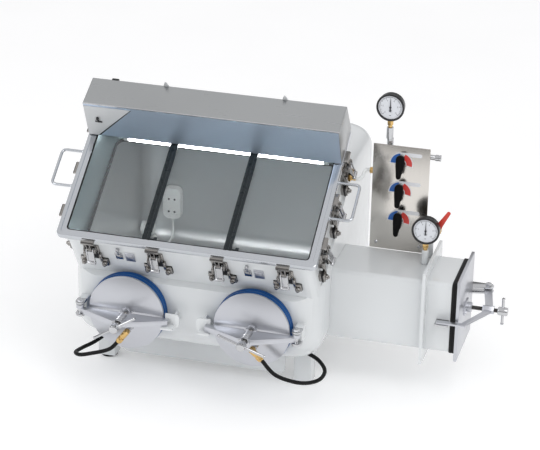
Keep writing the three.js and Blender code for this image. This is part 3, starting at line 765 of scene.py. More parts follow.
def add_hood_fittings():
    """The fins and the button at the hood's back, and the corner plate and clip on its front face."""
    fins = bmesh.new()
    for x in (-148, 187):
        triangle = [(x - 10, -3), (x + 10, -3), (x + 2, 20), (x - 2, 20)]
        tilt = ON_WINDOW @ axes((1, 0, 0), (0, 0, 1), (0, -1, 0), (0, 449, 100))
        prism(fins, triangle, -2, 2, 0.4, tilt)
    piece("hood_fins", fins, GREY_PAINT)
    button = bmesh.new()
    bump = ON_WINDOW @ Vector((-304, 450, 100))
    rod(button, bump, bump + Vector((20, 0, 0)), 6, 2)
    piece("hood_button", button, BLACK_PAINT)
    add_hood_gusset()
    clip = bmesh.new()
    place = ON_WINDOW @ Matrix.Translation((-HOOD_HALF + 40, 341.6, 62))
    slab(clip, (-12, -3.4, -9), (8, -1, -4), 0.6, place)
    slab(clip, (-6, -4, -9), (0, -1, 12), 0.6, place)
    rod(clip, place @ Vector((-3, -6, 8)), place @ Vector((-3, 0, 8)), 4, 0.6, 16)
    piece("hood_clip", clip, BLACK_PAINT)


def add_lamp():
    """The lit tube under the hood, with a white cap at each end."""
    low, high = span("lamp_tube")
    _, y, z = middle_of("lamp_tube")
    tube = bmesh.new()
    rod(tube, (low.x + 12, y, z), (high.x - 12, y, z), 8, 1.5)
    piece("lamp_lit", tube, LAMP, stands_for=["lamp_tube"])
    caps = bmesh.new()
    for end, inward in ((low.x, 1), (high.x, -1)):
        rod(caps, (end, y, z), (end + inward * 14, y, z), 8.8, 1)
    piece("lamp_caps", caps, WHITE_PLASTIC)


# ---------------------------------------------------------------- toggle latches
LATCH_X = (-270, -90, 90, 270)
LATCH_S = (85, 225, 365)
FOOT_X = 29
FOOT_Z = {"sill": 116, "left": 131, "right": 131}


def latch_places():
    """(name, matrix, sink) of each latch. x runs across it, y away from the wall, z down the neck."""
    down = -OUTWARD
    places = []
    for i, x in enumerate(LATCH_X):
        places.append((f"sill_{i + 1}", axes(RIGHT, -UPHILL, down, ON_WINDOW @ Vector((x, 7, 0))), 2))
    for side, word in ((-1, "left"), (1, "right")):
        for i, s in enumerate(LATCH_S):
            at = ON_WINDOW @ Vector((side * (FRAME_HALF - 7), s, 0))
            places.append((f"{word}_{i + 1}", axes(UPHILL * side, RIGHT * side, down, at), 12))
    return places


def add_latch_base(name, place, sink):
    """A bent base plate with two cheeks, the lever's pin and two bolted feet on dark washers."""
    foot_z = FOOT_Z[name.split("_")[0]]
    bm = bmesh.new()
    slab(bm, (-22, -sink, 40), (22, 4, 104), 1.2, place)
    for side in (-1, 1):
        cheek = [(2, 42), (15, 42), (19, 46), (19, 56), (13, 64), (2, 70)]
        prism(bm, cheek, side * 15 - 2, side * 15 + 2, 0.6, place @ FACING_RIGHT)
        foot = side * FOOT_X
        slab(bm, (foot - 9.5, -sink, foot_z - 15), (foot + 9.5, 8, foot_z + 14), 2.5, place, 3)
        rod(bm, place @ Vector((foot, 6, foot_z)), place @ Vector((foot, 14, foot_z)), 8, 2, 24)
        hexagon(bm, place @ Vector((foot, 13, foot_z)), place @ Vector((foot, 18, foot_z)), 5.2)
        arm = side * 22
        slab(bm, (arm - 4, 1, 74), (arm + 4, 10, foot_z - 6), 1.5, place)
    rod(bm, place @ Vector((-18, 12, 52)), place @ Vector((18, 12, 52)), 2.5, 0.5, 16)
    piece(f"latch_base_{name}", bm, LATCH_STEEL)
    pads = bmesh.new()
    for side in (-1, 1):
        foot = side * FOOT_X
        slab(pads, (foot - 10.2, -3, foot_z - 16), (foot + 10.2, 3.4, foot_z + 16), 2, place)
    slab(pads, (-15, 3, 58), (15, 5.5, 100), 1, place)
    piece(f"latch_pads_{name}", pads, BLACK_RUBBER)


def add_latch_keeper(name, place):
    """The keeper hook on the frame, with its wire loop reaching down to just short of the lever."""
    bm = bmesh.new()
    hook = [(-4, 8), (15, 8), (18.5, 11), (18.5, 16), (15.5, 16), (14.5, 13.5), (-4, 13.5)]
    prism(bm, hook, -18, 18, 0.7, place @ FACING_RIGHT)
    loop = [(-5.2, 16, 43), (-5.2, 16, 13.5), (5.2, 16, 13.5), (5.2, 16, 43)]
    bent_rod(bm, [place @ Vector(p) for p in loop], 2.1, 3, 12, 5)
    rod(bm, place @ Vector((-7.2, 16, 41.5)), place @ Vector((7.2, 16, 41.5)), 2.4, 0.4, 12)
    piece(f"latch_hook_{name}", bm, LATCH_STEEL)


def add_latch_lever(name, place):
    """A pressed lever with two side flanges and a rolled end."""
    flange = [(6, 48), (9, 45), (15, 45), (19, 50), (24, 80), (27, 92), (23, 93), (18, 82),
              (13, 60), (7, 58)]
    web = [(15, 52), (17.5, 52), (25, 92), (22.5, 93)]
    bm = bmesh.new()
    for side in (-1, 1):
        prism(bm, flange, side * 9.4 - 1.6, side * 9.4 + 1.6, 0.5, place @ FACING_RIGHT)
    prism(bm, web, -9, 9, 0.5, place @ FACING_RIGHT)
    rod(bm, place @ Vector((-12, 25, 94)), place @ Vector((12, 25, 94)), 5.2, 1.4, 24)
    piece(f"latch_handle_{name}", bm, BRIGHT, f"latch_{name}", [f"latch_lever_{name}"])


def add_sill_plates():
    """A small steel plate with a stud above it and a white one beside, between the sill latches."""
    steel = bmesh.new()
    white = bmesh.new()
    for x in (-180, 180):
        place = axes(RIGHT, -UPHILL, -OUTWARD, ON_WINDOW @ Vector((x, 7, 0)))
        slab(steel, (-26, -2, 64), (-6, 3, 94), 1, place, 3)
        slab(steel, (-22, 3, 70), (-10, 5, 86), 0.8, place)
        rod(steel, place @ Vector((-14, -2, 46)), place @ Vector((-14, 9, 46)), 5, 1, 20)
        rod(steel, place @ Vector((-14, 7, 34)), place @ Vector((-14, 7, 64)), 2.4, 0.5, 12)
        slab(white, (2, -2, 60), (28, 3.2, 98), 1.2, place, 3)
        slab(white, (6, 3, 66), (24, 4.6, 90), 0.8, place)
    piece("sill_plates", steel, BRIGHT)
    piece("sill_plates_white", white, COVER_STEEL)


def add_latches():
    """All ten toggle latches, and the plates between those on the sill."""
    for name, place, sink in latch_places():
        add_latch_base(name, place, sink)
        add_latch_keeper(name, place)
        add_latch_lever(name, place)
    add_sill_plates()


# ---------------------------------------------------------------- glove ports
ARM_Z = PORT_Z + 2
TAB_TOP = ARM_Z - 15
HINGE_REACH = 128  # from the port's middle out to the arm's hinge
CATCH_REACH = 125  # from the port's middle to the arm's free end
HINGE_Y = 38
BAND_BACK = 84.5  # the band ends just clear of the chamber's front
BAND_HOLE_R = 92.4
THREAD_PITCH = 2.5
T_BAR_ANGLE = {"left": 33, "right": -19}
ELBOW_AIM = {"left": (-0.6, -0.8), "right": (0.75, -0.66)}


def add_port_cover(word):
    """The cover disc with its turned boss, and the blue band round the port's ring."""
    low, high = span(f"port_cover_{word}")
    x = (low.x + high.x) / 2
    radius = (high.x - low.x) / 2
    face = high.y - 8
    bm = bmesh.new()
    turned(bm, (x, high.y, PORT_Z), (x, face, PORT_Z), [
        (0, radius - 1.5), (0.6, radius - 0.4), (1.8, radius), (6.2, radius), (7.4, radius - 0.5),
        (8, radius - 1.6)], 128)
    rod(bm, (x, face + 1, PORT_Z), (x, low.y, PORT_Z), 15, 1, 48)
    piece(f"cover_disc_{word}", bm, COVER_STEEL, f"port_{word}_cover", [f"port_cover_{word}"])
    band = bmesh.new()
    low, high = span(f"port_band_{word}")
    outer = (high.x - low.x) / 2 + 2.5
    depth = BAND_BACK - low.y
    profile = [(0, BAND_HOLE_R), (0, outer - 3), (1, outer - 0.6), (2.5, outer), (depth * 0.42, outer),
               (depth * 0.5, outer - 1.4), (depth * 0.58, outer), (depth - 2.5, outer),
               (depth - 1, outer - 0.6), (depth, outer - 3), (depth, BAND_HOLE_R)]
    turned(band, (x, low.y, PORT_Z), (x, BAND_BACK, PORT_Z), profile, 128, closed=True)
    piece(f"seal_band_{word}", band, BLUE_RUBBER, stands_for=[f"port_band_{word}"])


def add_port_elbow(side, word):
    """A brass elbow screwed into the cover, with the hose's compression nut."""
    x = side * PORT_X + 14
    z = PORT_Z - 38
    aim_x, aim_z = ELBOW_AIM[word]

    def along(t, y=5):
        return (x + aim_x * t, y, z + aim_z * t)

    stub = bmesh.new()
    hexagon(stub, (x, 47.7, z), (x, 34, z), 10)
    rod(stub, (x, 35, z), (x, 17, z), 7.4, 0.8)
    hexagon(stub, (x, 24, z), (x, 15, z), 9.5)
    piece(f"elbow_stub_{word}", stub, BRIGHT, f"port_{word}_cover")
    bm = bmesh.new()
    turned(bm, (x, 16, z), (x, -3, z), [(0, 7), (1, 8.6), (10, 8.8), (15, 8), (18, 5.4), (19, 2)], 32)
    turned(bm, along(-2), along(20), [(0, 6), (1, 8), (3, 8.5), (17, 8.5), (19, 8), (22, 6.5)], 32)
    turned(bm, along(18), along(22), [(0, 6), (0.5, 7), (3.5, 7), (4, 6)], 32)
    hexagon(bm, along(21), along(34), 9.4)
    turned(bm, along(33), along(38), [(0, 7), (0.6, 8), (4, 8), (5, 6.5)], 32)
    piece(f"elbow_{word}", bm, BRASS, f"port_{word}_cover", [f"port_elbow_{word}"])


def add_port_arm(side, word):
    """The pressed clamp arm: a shelf with a turned-down edge, tapering to both ends."""
    x = side * PORT_X
    hinge = x + side * HINGE_REACH
    catch = x - side * CATCH_REACH
    back, end, apex = 39.7, 24, -18.3
    front = [(catch, end), (x - side * 20, apex), (x + side * 20, apex), (hinge - side * 16, end)]
    notch = [(x + side * 17, back), (x + side * 17, 32), (x - side * 17, 32), (x - side * 17, back)]
    outline = [(hinge, back), *notch, (catch, back), *front]
    bm = bmesh.new()
    prism(bm, outline, ARM_Z, ARM_Z + 3, 0.8)
    inner = [(px, py + 3) for px, py in front]
    skirt = [*front, (hinge - side * 2, back - 6), (hinge - side * 5, back - 4), *reversed(inner)]
    prism(bm, skirt, ARM_Z - 13, ARM_Z + 1, 0.7)
    rod(bm, (hinge, HINGE_Y, ARM_Z), (hinge, HINGE_Y, ARM_Z + 12), 11, 1.2)
    piece(f"clamp_arm_{word}", bm, COVER_STEEL, f"port_{word}_arm", [f"port_arm_{word}"])
    nut_front = apex - 10
    sleeve = bmesh.new()
    turned(sleeve, (x, nut_front, PORT_Z), (x, 31.5, PORT_Z), [
        (0, 7.5), (0, 12), (1, 13), (9, 13), (10, 11), (13, 11), (14, 13), (20, 13), (21, 11), (24, 11),
        (25, 13), (49, 13), (50, 12), (50, 7.5)], 40, closed=True)
    turned(sleeve, (x, nut_front - 0.5, PORT_Z), (x, nut_front + 8, PORT_Z), [
        (0, 7.6), (0, 14.5), (1, 15.5), (7, 15.5), (8, 14.5), (8, 7.6)], 6, closed=True)
    piece(f"clamp_sleeve_{word}", sleeve, BRIGHT, f"port_{word}_arm")


def thread(length, radius):
    """The profile of a screw thread cut as close rings."""
    turns = int(length / THREAD_PITCH)
    return [(THREAD_PITCH * (i + share), radius - depth) for i in range(turns)
            for share, depth in ((0.1, 0.9), (0.5, 0), (0.7, 0))]


def t_bar(bm, centre, reach):
    """A bar through a screw's hub, with a ball at each end."""
    centre, reach = Vector(centre), Vector(reach)
    rod(bm, centre - reach, centre + reach, 4, 1.4, 24)
    for end in (centre - reach, centre + reach):
        inward = (centre - end).normalized()
        turned(bm, end, end + inward * 6, [(0, 3), (1, 4.4), (3, 4.8), (5, 4.4), (6, 3.9)], 24)


def add_port_screw(side, word):
    """The clamp screw: threaded shank, turned hub and a T-bar with ball ends."""
    x = side * PORT_X
    hub = -52
    angle = math.radians(T_BAR_ANGLE[word])
    shank = bmesh.new()
    turned(shank, (x, 40.7, PORT_Z), (x, hub, PORT_Z), [(0, 5.5), *thread(90, 7), (92, 6)], 32)
    piece(f"clamp_screw_thread_{word}", shank, THREAD_STEEL, f"port_{word}_screw")
    bm = bmesh.new()
    turned(bm, (x, hub + 14, PORT_Z), (x, hub - 12, PORT_Z), [
        (0, 9), (1, 10.5), (3, 10.5), (4, 11.2), (6, 12), (23, 12), (25, 11), (26, 9)], 40)
    t_bar(bm, (x, hub, PORT_Z), Vector((math.cos(angle), 0, math.sin(angle))) * 70)
    piece(f"clamp_screw_{word}", bm, BRIGHT, f"port_{word}_screw", [f"port_screw_{word}"])


def add_port_hinge(side, word):
    """The hinge post with its two tongues, pin, washers and bolt head."""
    x = side * (PORT_X + HINGE_REACH)
    post = bmesh.new()
    slab(post, (x - 13, 52, TAB_TOP - 5), (x + 13, 92, ARM_Z + 20), 4, segments=4)
    piece(f"hinge_post_{word}", post, ENAMEL)
    bm = bmesh.new()
    tongue = [(x - 13, 58), *arc((x, HINGE_Y), 13, 180, 360, 14), (x + 13, 58)]
    for low, high in ((TAB_TOP - 6, TAB_TOP), (ARM_Z + 14, ARM_Z + 20)):
        prism(bm, tongue, low, high, 1)
    rod(bm, (x, HINGE_Y, TAB_TOP - 9), (x, HINGE_Y, ARM_Z + 26), 5, 0.8)
    for low in (ARM_Z + 19.5, TAB_TOP - 8.5):
        turned(bm, (x, HINGE_Y, low), (x, HINGE_Y, low + 2.5), [
            (0, 9), (0.5, 10.5), (2, 10.5), (2.5, 9)], 32)
    hexagon(bm, (x, HINGE_Y, ARM_Z + 21.5), (x, HINGE_Y, ARM_Z + 27), 8.8)
    piece(f"hinge_lug_{word}", bm, BRIGHT, stands_for=[f"port_hinge_{word}"])


def add_catch_tab(side, word):
    """The white winged tab that the arm's free end rests on."""
    x = side * (PORT_X - CATCH_REACH)
    far, near = x - side * 28, x + side * 12
    upper = arc((far + side * 10, ARM_Z + 6), 10, 90, 90 + side * 90, 8)
    lower = arc((far + side * 14, TAB_TOP + 4), 14, 90 + side * 90, 90 + side * 180, 8)
    wing = [(near, TAB_TOP - 6), (near, ARM_Z + 16), *upper, *lower]
    tab = bmesh.new()
    slab(tab, (x - 17, 12, TAB_TOP - 6), (x + 17, 88, TAB_TOP), 2, segments=3)
    prism(tab, wing, -46, -41, 1.4, FACING_FRONT)
    slab(tab, (x - side * 10 - 3, 44, TAB_TOP - 6), (x - side * 10 + 3, 88, ARM_Z + 8), 1.5)
    piece(f"catch_tab_{word}", tab, ENAMEL)


def add_ports():
    """Both glove ports, each with its cover, elbow, arm, screw, hinge and tab."""
    for side, word in ((-1, "left"), (1, "right")):
        add_port_cover(word)
        add_port_elbow(side, word)
        add_port_arm(side, word)
        add_port_screw(side, word)
        add_port_hinge(side, word)
        add_catch_tab(side, word)


# ---------------------------------------------------------------- pass box
DUCT_R = 12
DOOR_FACE = 709  # the outer face of the outer door
DOOR_HUB = 812  # the middle of its screw's T-bar
DOOR_PIN = (749, 455)  # the x and y of the door arm's hinge pin


def add_duct():
    """The pass box's rectangular duct."""
    low, high = span("pass_box_duct")
    _, y, z = middle_of("pass_box_duct")
    wide, tall = high.y - low.y, high.z - low.z
    outer = (wide, tall, DUCT_R, (y, z))
    inner = (wide - 2 * WALL, tall - 2 * WALL, DUCT_R - WALL, (y, z))
    bm = bmesh.new()
    ring(bm, [(*outer, low.x), (*outer, high.x), (*inner, high.x), (*inner, low.x)], FACING_RIGHT)
    piece("duct_welded", bm, ENAMEL, stands_for=["pass_box_duct"])


def add_flange():
    """The flange plate round the duct's outer end."""
    duct_low, duct_high = span("pass_box_duct")
    low, high = span("pass_box_flange")
    _, y, z = middle_of("pass_box_flange")
    hole = rounded(duct_high.y - duct_low.y + 0.6, duct_high.z - duct_low.z + 0.6, DUCT_R,
                   middle_of("pass_box_duct")[1:])
    edge = rounded(high.y - low.y, high.z - low.z, 3, (y, z))
    loops = []
    for outline, x in ((edge, low.x), (edge, high.x), (hole, high.x), (hole, low.x)):
        loops.append([FACING_RIGHT @ Vector((py, pz, x)) for py, pz in outline])
    plate = bmesh.new()
    skin(plate, loops, closed=True)
    piece("flange_plate", plate, ENAMEL, stands_for=["pass_box_flange"])


def add_door_gasket():
    """The outer door's black gasket, with a groove round its side."""
    low, high = span("pass_door_gasket")
    middle = middle_of("pass_box_duct")[1:]
    wide, tall, deep = high.y - low.y, high.z - low.z, high.x - low.x
    levels = []
    for shrink, x in ((1, low.x), (0, low.x + 1), (0, low.x + deep * 0.45), (0.8, low.x + deep * 0.5),
                      (0, low.x + deep * 0.55), (0, high.x - 1), (1, high.x)):
        levels.append((wide - 2 * shrink, tall - 2 * shrink, DUCT_R, middle, x))
    for x in (high.x, low.x):
        levels.append((wide - 26, tall - 26, DUCT_R - WALL, middle, x))
    seal = bmesh.new()
    ring(seal, levels, FACING_RIGHT)
    piece("door_seal", seal, BLACK_RUBBER, stands_for=["pass_door_gasket"])


def add_outer_door():
    """The outer door's plate with the boss that its screw presses on."""
    low, high = span("pass_door")
    _, y, z = middle_of("pass_door")
    bm = bmesh.new()
    slab(bm, (low.x, low.y, low.z), (DOOR_FACE, high.y, high.z), 1.2)
    slab(bm, (DOOR_FACE - 1, y - 26, z - 16), (DOOR_FACE + 4, y + 26, z + 16), 1.2)
    turned(bm, (DOOR_FACE, y, z), (DOOR_FACE + 18, y, z), [
        (0, 17), (2, 17), (3, 14), (16, 14), (18, 12)], 40)
    for dy in (-19, 19):
        hexagon(bm, (DOOR_FACE + 3, y + dy, z - 9), (DOOR_FACE + 7.5, y + dy, z - 9), 4)
    piece("door_plate", bm, COVER_STEEL, "pass_door", ["pass_door"])


def add_door_arm():
    """The bowed clamp arm across the outer door, with its hinge eye and nut."""
    _, y, z = middle_of("pass_door")
    outer = [(742, 463), (758, 463), (782, 340), (782, 304), (732, 212), (732, 196), (652, 196)]
    inner = [(652, 208), (720, 208), (720, 216), (762, 302), (762, 340), (738, 446)]
    arm = bmesh.new()
    prism(arm, [*outer, *inner], z - 3, z + 3, 1)
    rod(arm, (*DOOR_PIN, z - 3), (*DOOR_PIN, z + 3), 13, 1)
    hexagon(arm, (756, y, z), (788, y, z), 12)
    piece("door_arm_bowed", arm, COVER_STEEL, "pass_arm", ["pass_door_arm"])


def add_door_screw():
    """The door's clamp screw: threaded shank, turned hub and an upright T-bar."""
    _, y, z = middle_of("pass_door")
    shank = bmesh.new()
    turned(shank, (DOOR_FACE + 18.3, y, z), (DOOR_HUB, y, z), [(0, 4.6), *thread(82, 6), (84, 5)], 32)
    piece("door_screw_thread", shank, THREAD_STEEL, "pass_screw")
    screw = bmesh.new()
    turned(screw, (DOOR_HUB - 14, y, z), (DOOR_HUB + 14, y, z), [
        (0, 9), (1, 11), (4, 12), (24, 12), (27, 11), (28, 9)], 40)
    t_bar(screw, (DOOR_HUB, y, z), (0, 0, 40))
    piece("door_screw", screw, BRIGHT, "pass_screw", ["pass_door_screw"])


def add_door_hinge():
    """The pair of fixed lugs that carry the door arm's pin."""
    _, _, z = middle_of("pass_door")
    back = 414.3
    cheek = [(640, back), (757, 442), *arc((751, 455), 13, -60, 60, 6), (757, 468), (690, 468), (640, 440)]
    lugs = bmesh.new()
    prism(lugs, cheek, z + 5, z + 10, 1)
    prism(lugs, cheek, z - 10, z - 5, 1)
    slab(lugs, (640, back, z - 10), (660, back + 12, z + 10), 1)
    rod(lugs, (*DOOR_PIN, z - 13), (*DOOR_PIN, z + 15), 5, 0.8)
    hexagon(lugs, (*DOOR_PIN, z + 9.5), (*DOOR_PIN, z + 16), 9)
    hexagon(lugs, (*DOOR_PIN, z - 13), (*DOOR_PIN, z - 9.5), 8)
    piece("door_hinge_lugs", lugs, BRIGHT, stands_for=["pass_door_hinge"])


def add_arm_rest():
    """The angle that the door arm's free end rests on, and its brass bolt."""
    _, _, z = middle_of("pass_door")
    low, high = span("pass_door_rest")
    rest = bmesh.new()
    slab(rest, (low.x, low.y, high.z - 6), (high.x, high.y, high.z), 1)
    slab(rest, (low.x, high.y - 5, high.z - 16), (high.x, high.y, high.z), 1)
    piece("arm_rest", rest, BRIGHT, stands_for=["pass_door_rest"])
    bolt = bmesh.new()
    hexagon(bolt, (668, 216, z - 17), (668, 216, z - 8), 6)
    piece("arm_rest_bolt", bolt, BRASS)


def add_inner_door():
    """The inner door: a plain plate with its hinge rod, and a T handle on the chamber's side."""
    _, y, z = middle_of("pass_door")
    x = span("inner_door")[1].x
    inner = bmesh.new()
    slab(inner, (x - 6, y - 96, z - 105), (x, y + 100, z + 105), 1.2)
    rod(inner, (x - 3, y + 108, z - 60), (x - 3, y + 108, z + 60), 6, 1)
    slab(inner, (x - 6, y + 98, z - 60), (x - 2, y + 106, z + 60), 1)
    rod(inner, (x - 5, y, z), (x - 40, y, z), 6, 1)
    rod(inner, (x - 38, y, z - 40), (x - 38, y, z + 40), 4, 1.2)
    piece("inner_door_plate", inner, COVER_STEEL, "inner_door", ["inner_door"])


def add_pass_box():
    """The pass box: duct, flange and gasket, then the outer door with its clamp, and the inner door."""
    add_duct()
    add_flange()
    add_door_gasket()
    add_outer_door()
    add_door_arm()
    add_door_screw()
    add_door_hinge()
    add_arm_rest()
    add_inner_door()


# ---------------------------------------------------------------- gas panel
COCK_X = 495
COCK_Z = (629, 544, 459)
GAUGE_X = 457
PIPE_Y = 430
BRANCH_Z = 571
VENT_AT = (606, 392, 440)
MARK_DROP = 19  # the marks sit this far below the cock's axis
DIAL_R = 33.5
SCALE_R = 29.5
SCALE_START, SCALE_END = 225, -45  # degrees
MARKS = 50
MARK_SIZES = {10: (5.5, 0.42), 5: (3.6, 0.24), 1: (2.2, 0.16)}  # every so many: length, half width
NUMBERS = 6
NUMBER_R = 20.5


def add_panel():
    """The polished panel with a folded foot and two screws."""
    low, high = span("gas_panel")
    bm = bmesh.new()
    slab(bm, (low.x, low.y, low.z), (high.x, low.y + 3, high.z), 0.7)
    slab(bm, (low.x, low.y + 1, low.z), (high.x, high.y, low.z + 3), 0.7)
    piece("panel_folded", bm, PANEL_STEEL, stands_for=["gas_panel"])
    screws = bmesh.new()
    z = low.z + 18
    for x in (low.x + 18, high.x - 18):
        turned(screws, (x, low.y + 0.5, z), (x, low.y - 2.6, z), [
            (0, 5), (1, 5), (2.4, 3.6), (3.1, 2)], 24)
    piece("panel_screws", screws, BRIGHT)
    add_cock_marks(low.y)


def add_cock_marks(face):
    """A blue and a red sector by each cock on the panel's face, with blank labels behind them."""
    for word, material, start, end in (("blue", LABEL_BLUE, 97, 178), ("red", LABEL_RED, -12, 70)):
        sectors = bmesh.new()
        for z in COCK_Z:
            middle = (COCK_X, z - MARK_DROP)
            outline = [*arc(middle, 30, start, end, 12), *arc(middle, 14, end, start, 12)]
            prism(sectors, outline, -face, -face + 0.5, 0, FACING_FRONT)
        piece(f"cock_marks_{word}", sectors, material)
    strips = bmesh.new()
    for z in COCK_Z:
        middle = (COCK_X, z - MARK_DROP)
        strip = rounded(72, 11, 5, (COCK_X + 21, z - MARK_DROP + 28), 5)
        halo = [*arc(middle, 32.5, -16, 182, 24), *arc(middle, 12, 182, -16, 24)]
        prism(strips, strip, -face, -face + 0.4, 0, FACING_FRONT)
        prism(strips, halo, -face, -face + 0.3, 0, FACING_FRONT)
    piece("cock_labels", strips, LABEL_WHITE)


def add_cocks():
    """Black moulded handles with a round hub and a stepped grip."""
    for i, z in enumerate(COCK_Z):
        low, high = span(f"cock_handle_{i + 1}")
        front = -low.y
        grip = [*arc((2, 4), 12, 5, 175, 12), (-10, -12), (-8.5, -34), *arc((-1, -47), 7, 190, 350, 8),
                (7, -30), (12, -28), (14, -8)]
        place = FACING_FRONT @ Matrix.Translation((COCK_X, z, 0))
        bm = bmesh.new()
        prism(bm, grip, front - 9, front, 1.6, place)
        ridge = [(-3, 6), (3, 6), (3.4, -44), (-4, -44)]
        prism(bm, ridge, front - 2, front + 0.01, 0.01, place)
        rod(bm, (COCK_X, -front + 8, z), (COCK_X, high.y, z), 9, 1)
        piece(f"cock_grip_{i + 1}", bm, BLACK_PLASTIC, f"cock_{i + 1}", [f"cock_handle_{i + 1}"])


def add_pipework():
    """The bright pipes between the gauges and the cocks, with a brass branch to the clear line."""
    _, high = span("gas_pipework")
    bm = bmesh.new()
    rod(bm, (GAUGE_X, PIPE_Y, 440), (GAUGE_X, PIPE_Y, high.z - 14), 8.6, 1)
    rod(bm, (GAUGE_X, PIPE_Y, high.z - 16), (GAUGE_X, PIPE_Y, high.z), 9, 0.8)
    for z in COCK_Z:
        rod(bm, (COCK_X, 396, z), (COCK_X, PIPE_Y, z), 9, 0.8)
        rod(bm, (GAUGE_X, PIPE_Y, z), (COCK_X + 12, PIPE_Y, z), 9, 1)
    z = COCK_Z[0]
    rod(bm, (COCK_X, PIPE_Y, z), (high.x - 14, PIPE_Y, z), 7.4, 0.8)
    turned(bm, (high.x - 16, PIPE_Y, z), (high.x, PIPE_Y, z), [
        (0, 8), (1, 9), (9, 9), (9.5, 7.6), (11, 7.6), (11.5, 9), (15, 9), (16, 8)], 32)
    piece("pipe_run", bm, BRIGHT, stands_for=["gas_pipework"])
    branch = bmesh.new()
    hexagon(branch, (404, PIPE_Y, BRANCH_Z), (414, PIPE_Y, BRANCH_Z), 9.5)
    rod(branch, (412, PIPE_Y, BRANCH_Z), (430, PIPE_Y, BRANCH_Z), 6.6, 0.8)
    piece("pipe_branch_brass", branch, BRASS)


def add_gauge(word):
    """A round dial gauge: turned case, white dial with its scale, hand and brass stem."""
    low, high = span(f"gauge_{word}")
    x, _, z = middle_of(f"gauge_{word}")
    radius = (high.x - low.x) / 2
    face = low.y + 4
    place = FACING_FRONT @ Matrix.Translation((x, z, 0))
    case = bmesh.new()
    turned(case, (x, low.y, z), (x, high.y, z), [
        (4.6, radius - 6), (0.6, radius - 5), (0, radius - 4.4), (0, radius - 2), (0.8, radius - 0.5),
        (2.4, radius), (6.4, radius), (7.6, radius - 0.6), (8, radius - 1.6), (9, radius - 2),
        (25, radius - 2), (27.4, radius - 3.4), (28, radius - 6)], 96)
    piece(f"gauge_case_{word}", case, BLACK_PAINT, stands_for=[f"gauge_{word}"])
    dial = bmesh.new()
    turned(dial, (x, face + 0.9, z), (x, face - 0.1, z), [(0, DIAL_R), (1, DIAL_R)], 96)
    piece(f"gauge_dial_{word}", dial, DIAL_WHITE)
    add_scale(word, place, face)
    add_numbers(word, place, face)
    add_gauge_hand(word, place, x, z)
    add_gauge_stem(word, x)


def add_scale(word, place, face):
    """The marks round the dial, the line under them and three short bars in place of lettering."""
    low, high = -face + 0.12, -face + 0.25
    scale = bmesh.new()
    for i in range(MARKS + 1):
        length, half = next(size for every, size in MARK_SIZES.items() if i % every == 0)
        angle = math.radians(SCALE_START + (SCALE_END - SCALE_START) * i / MARKS)
        mark = [(SCALE_R - length, -half), (SCALE_R, -half), (SCALE_R, half), (SCALE_R - length, half)]
        prism(scale, mark, low, high, 0, place @ Matrix.Rotation(angle, 4, "Z"))
    line = [*arc((0, 0), SCALE_R + 0.6, SCALE_START, SCALE_END, 48),
            *arc((0, 0), SCALE_R + 0.1, SCALE_END, SCALE_START, 48)]
    prism(scale, line, low, high, 0, place)
    for dx, dz, wide in ((0, -9, 9), (0, -12.5, 7), (0, -23, 5)):
        prism(scale, rounded(wide, 1.2, 0.5, (dx, dz), 3), low, high, 0, place)
    piece(f"gauge_scale_{word}", scale, INK)


def add_gauge_hand(word, place, x, z):
    """The dark hand, which turns with the gauge's needle body."""
    low, high = span(f"gauge_needle_{word}")
    outline = [(0.3, 28), (-0.3, 28), (-1.3, 2), (-2.1, -11), (2.1, -11), (1.3, 2)]
    needle = bmesh.new()
    prism(needle, outline, -high.y + 1, -high.y + 1.8, 0.2, place)
    rod(needle, (x, high.y, z), (x, low.y, z), 3, 0.5, 24)
    piece(f"gauge_hand_{word}", needle, INK, f"needle_{word}", [f"gauge_needle_{word}"])


def add_gauge_stem(word, x):
    """The brass stem under the case, and the socket under it."""
    low, high = span(f"gauge_stem_{word}")
    _, y, _ = middle_of(f"gauge_stem_{word}")
    stem = bmesh.new()
    hexagon(stem, (x, y, high.z), (x, y, high.z - 13), 9)
    rod(stem, (x, y, high.z - 11), (x, y, high.z - 22), 6, 0.6)
    piece(f"gauge_stem_{word}_brass", stem, BRASS, stands_for=[f"gauge_stem_{word}"])
    length = high.z - low.z
    socket = bmesh.new()
    turned(socket, (x, y, high.z - 20), (x, y, low.z), [
        (0, 8), (1, 9.4), (length - 24, 9.4), (length - 23, 7.2), (length - 20, 7)], 32)
    paint, slot = (ENAMEL, "white_paint") if word == "side" else (BRIGHT, "steel")
    piece(f"gauge_socket_{word}", socket, paint)


def add_numbers(word, place, face):
    """Plain numbers round the dial."""
    for i in range(NUMBERS):
        angle = math.radians(SCALE_START + (SCALE_END - SCALE_START) * i / (NUMBERS - 1))
        text = bpy.data.curves.new(f"dial_number_{word}_{i}", "FONT")
        text.body = str(2 * i)
        text.size = 5.2 * MM
        text.align_x = "CENTER"
        text.align_y = "CENTER"
        obj = bpy.data.objects.new(f"dial_number_{word}_{i}", text)
        bpy.context.scene.collection.objects.link(obj)
        spot = place @ Vector((math.cos(angle) * NUMBER_R, math.sin(angle) * NUMBER_R, -face + 0.2))
        obj.matrix_world = Matrix.Translation(TO_FRAME @ spot) @ FACING_FRONT
        finish_piece(obj, INK)


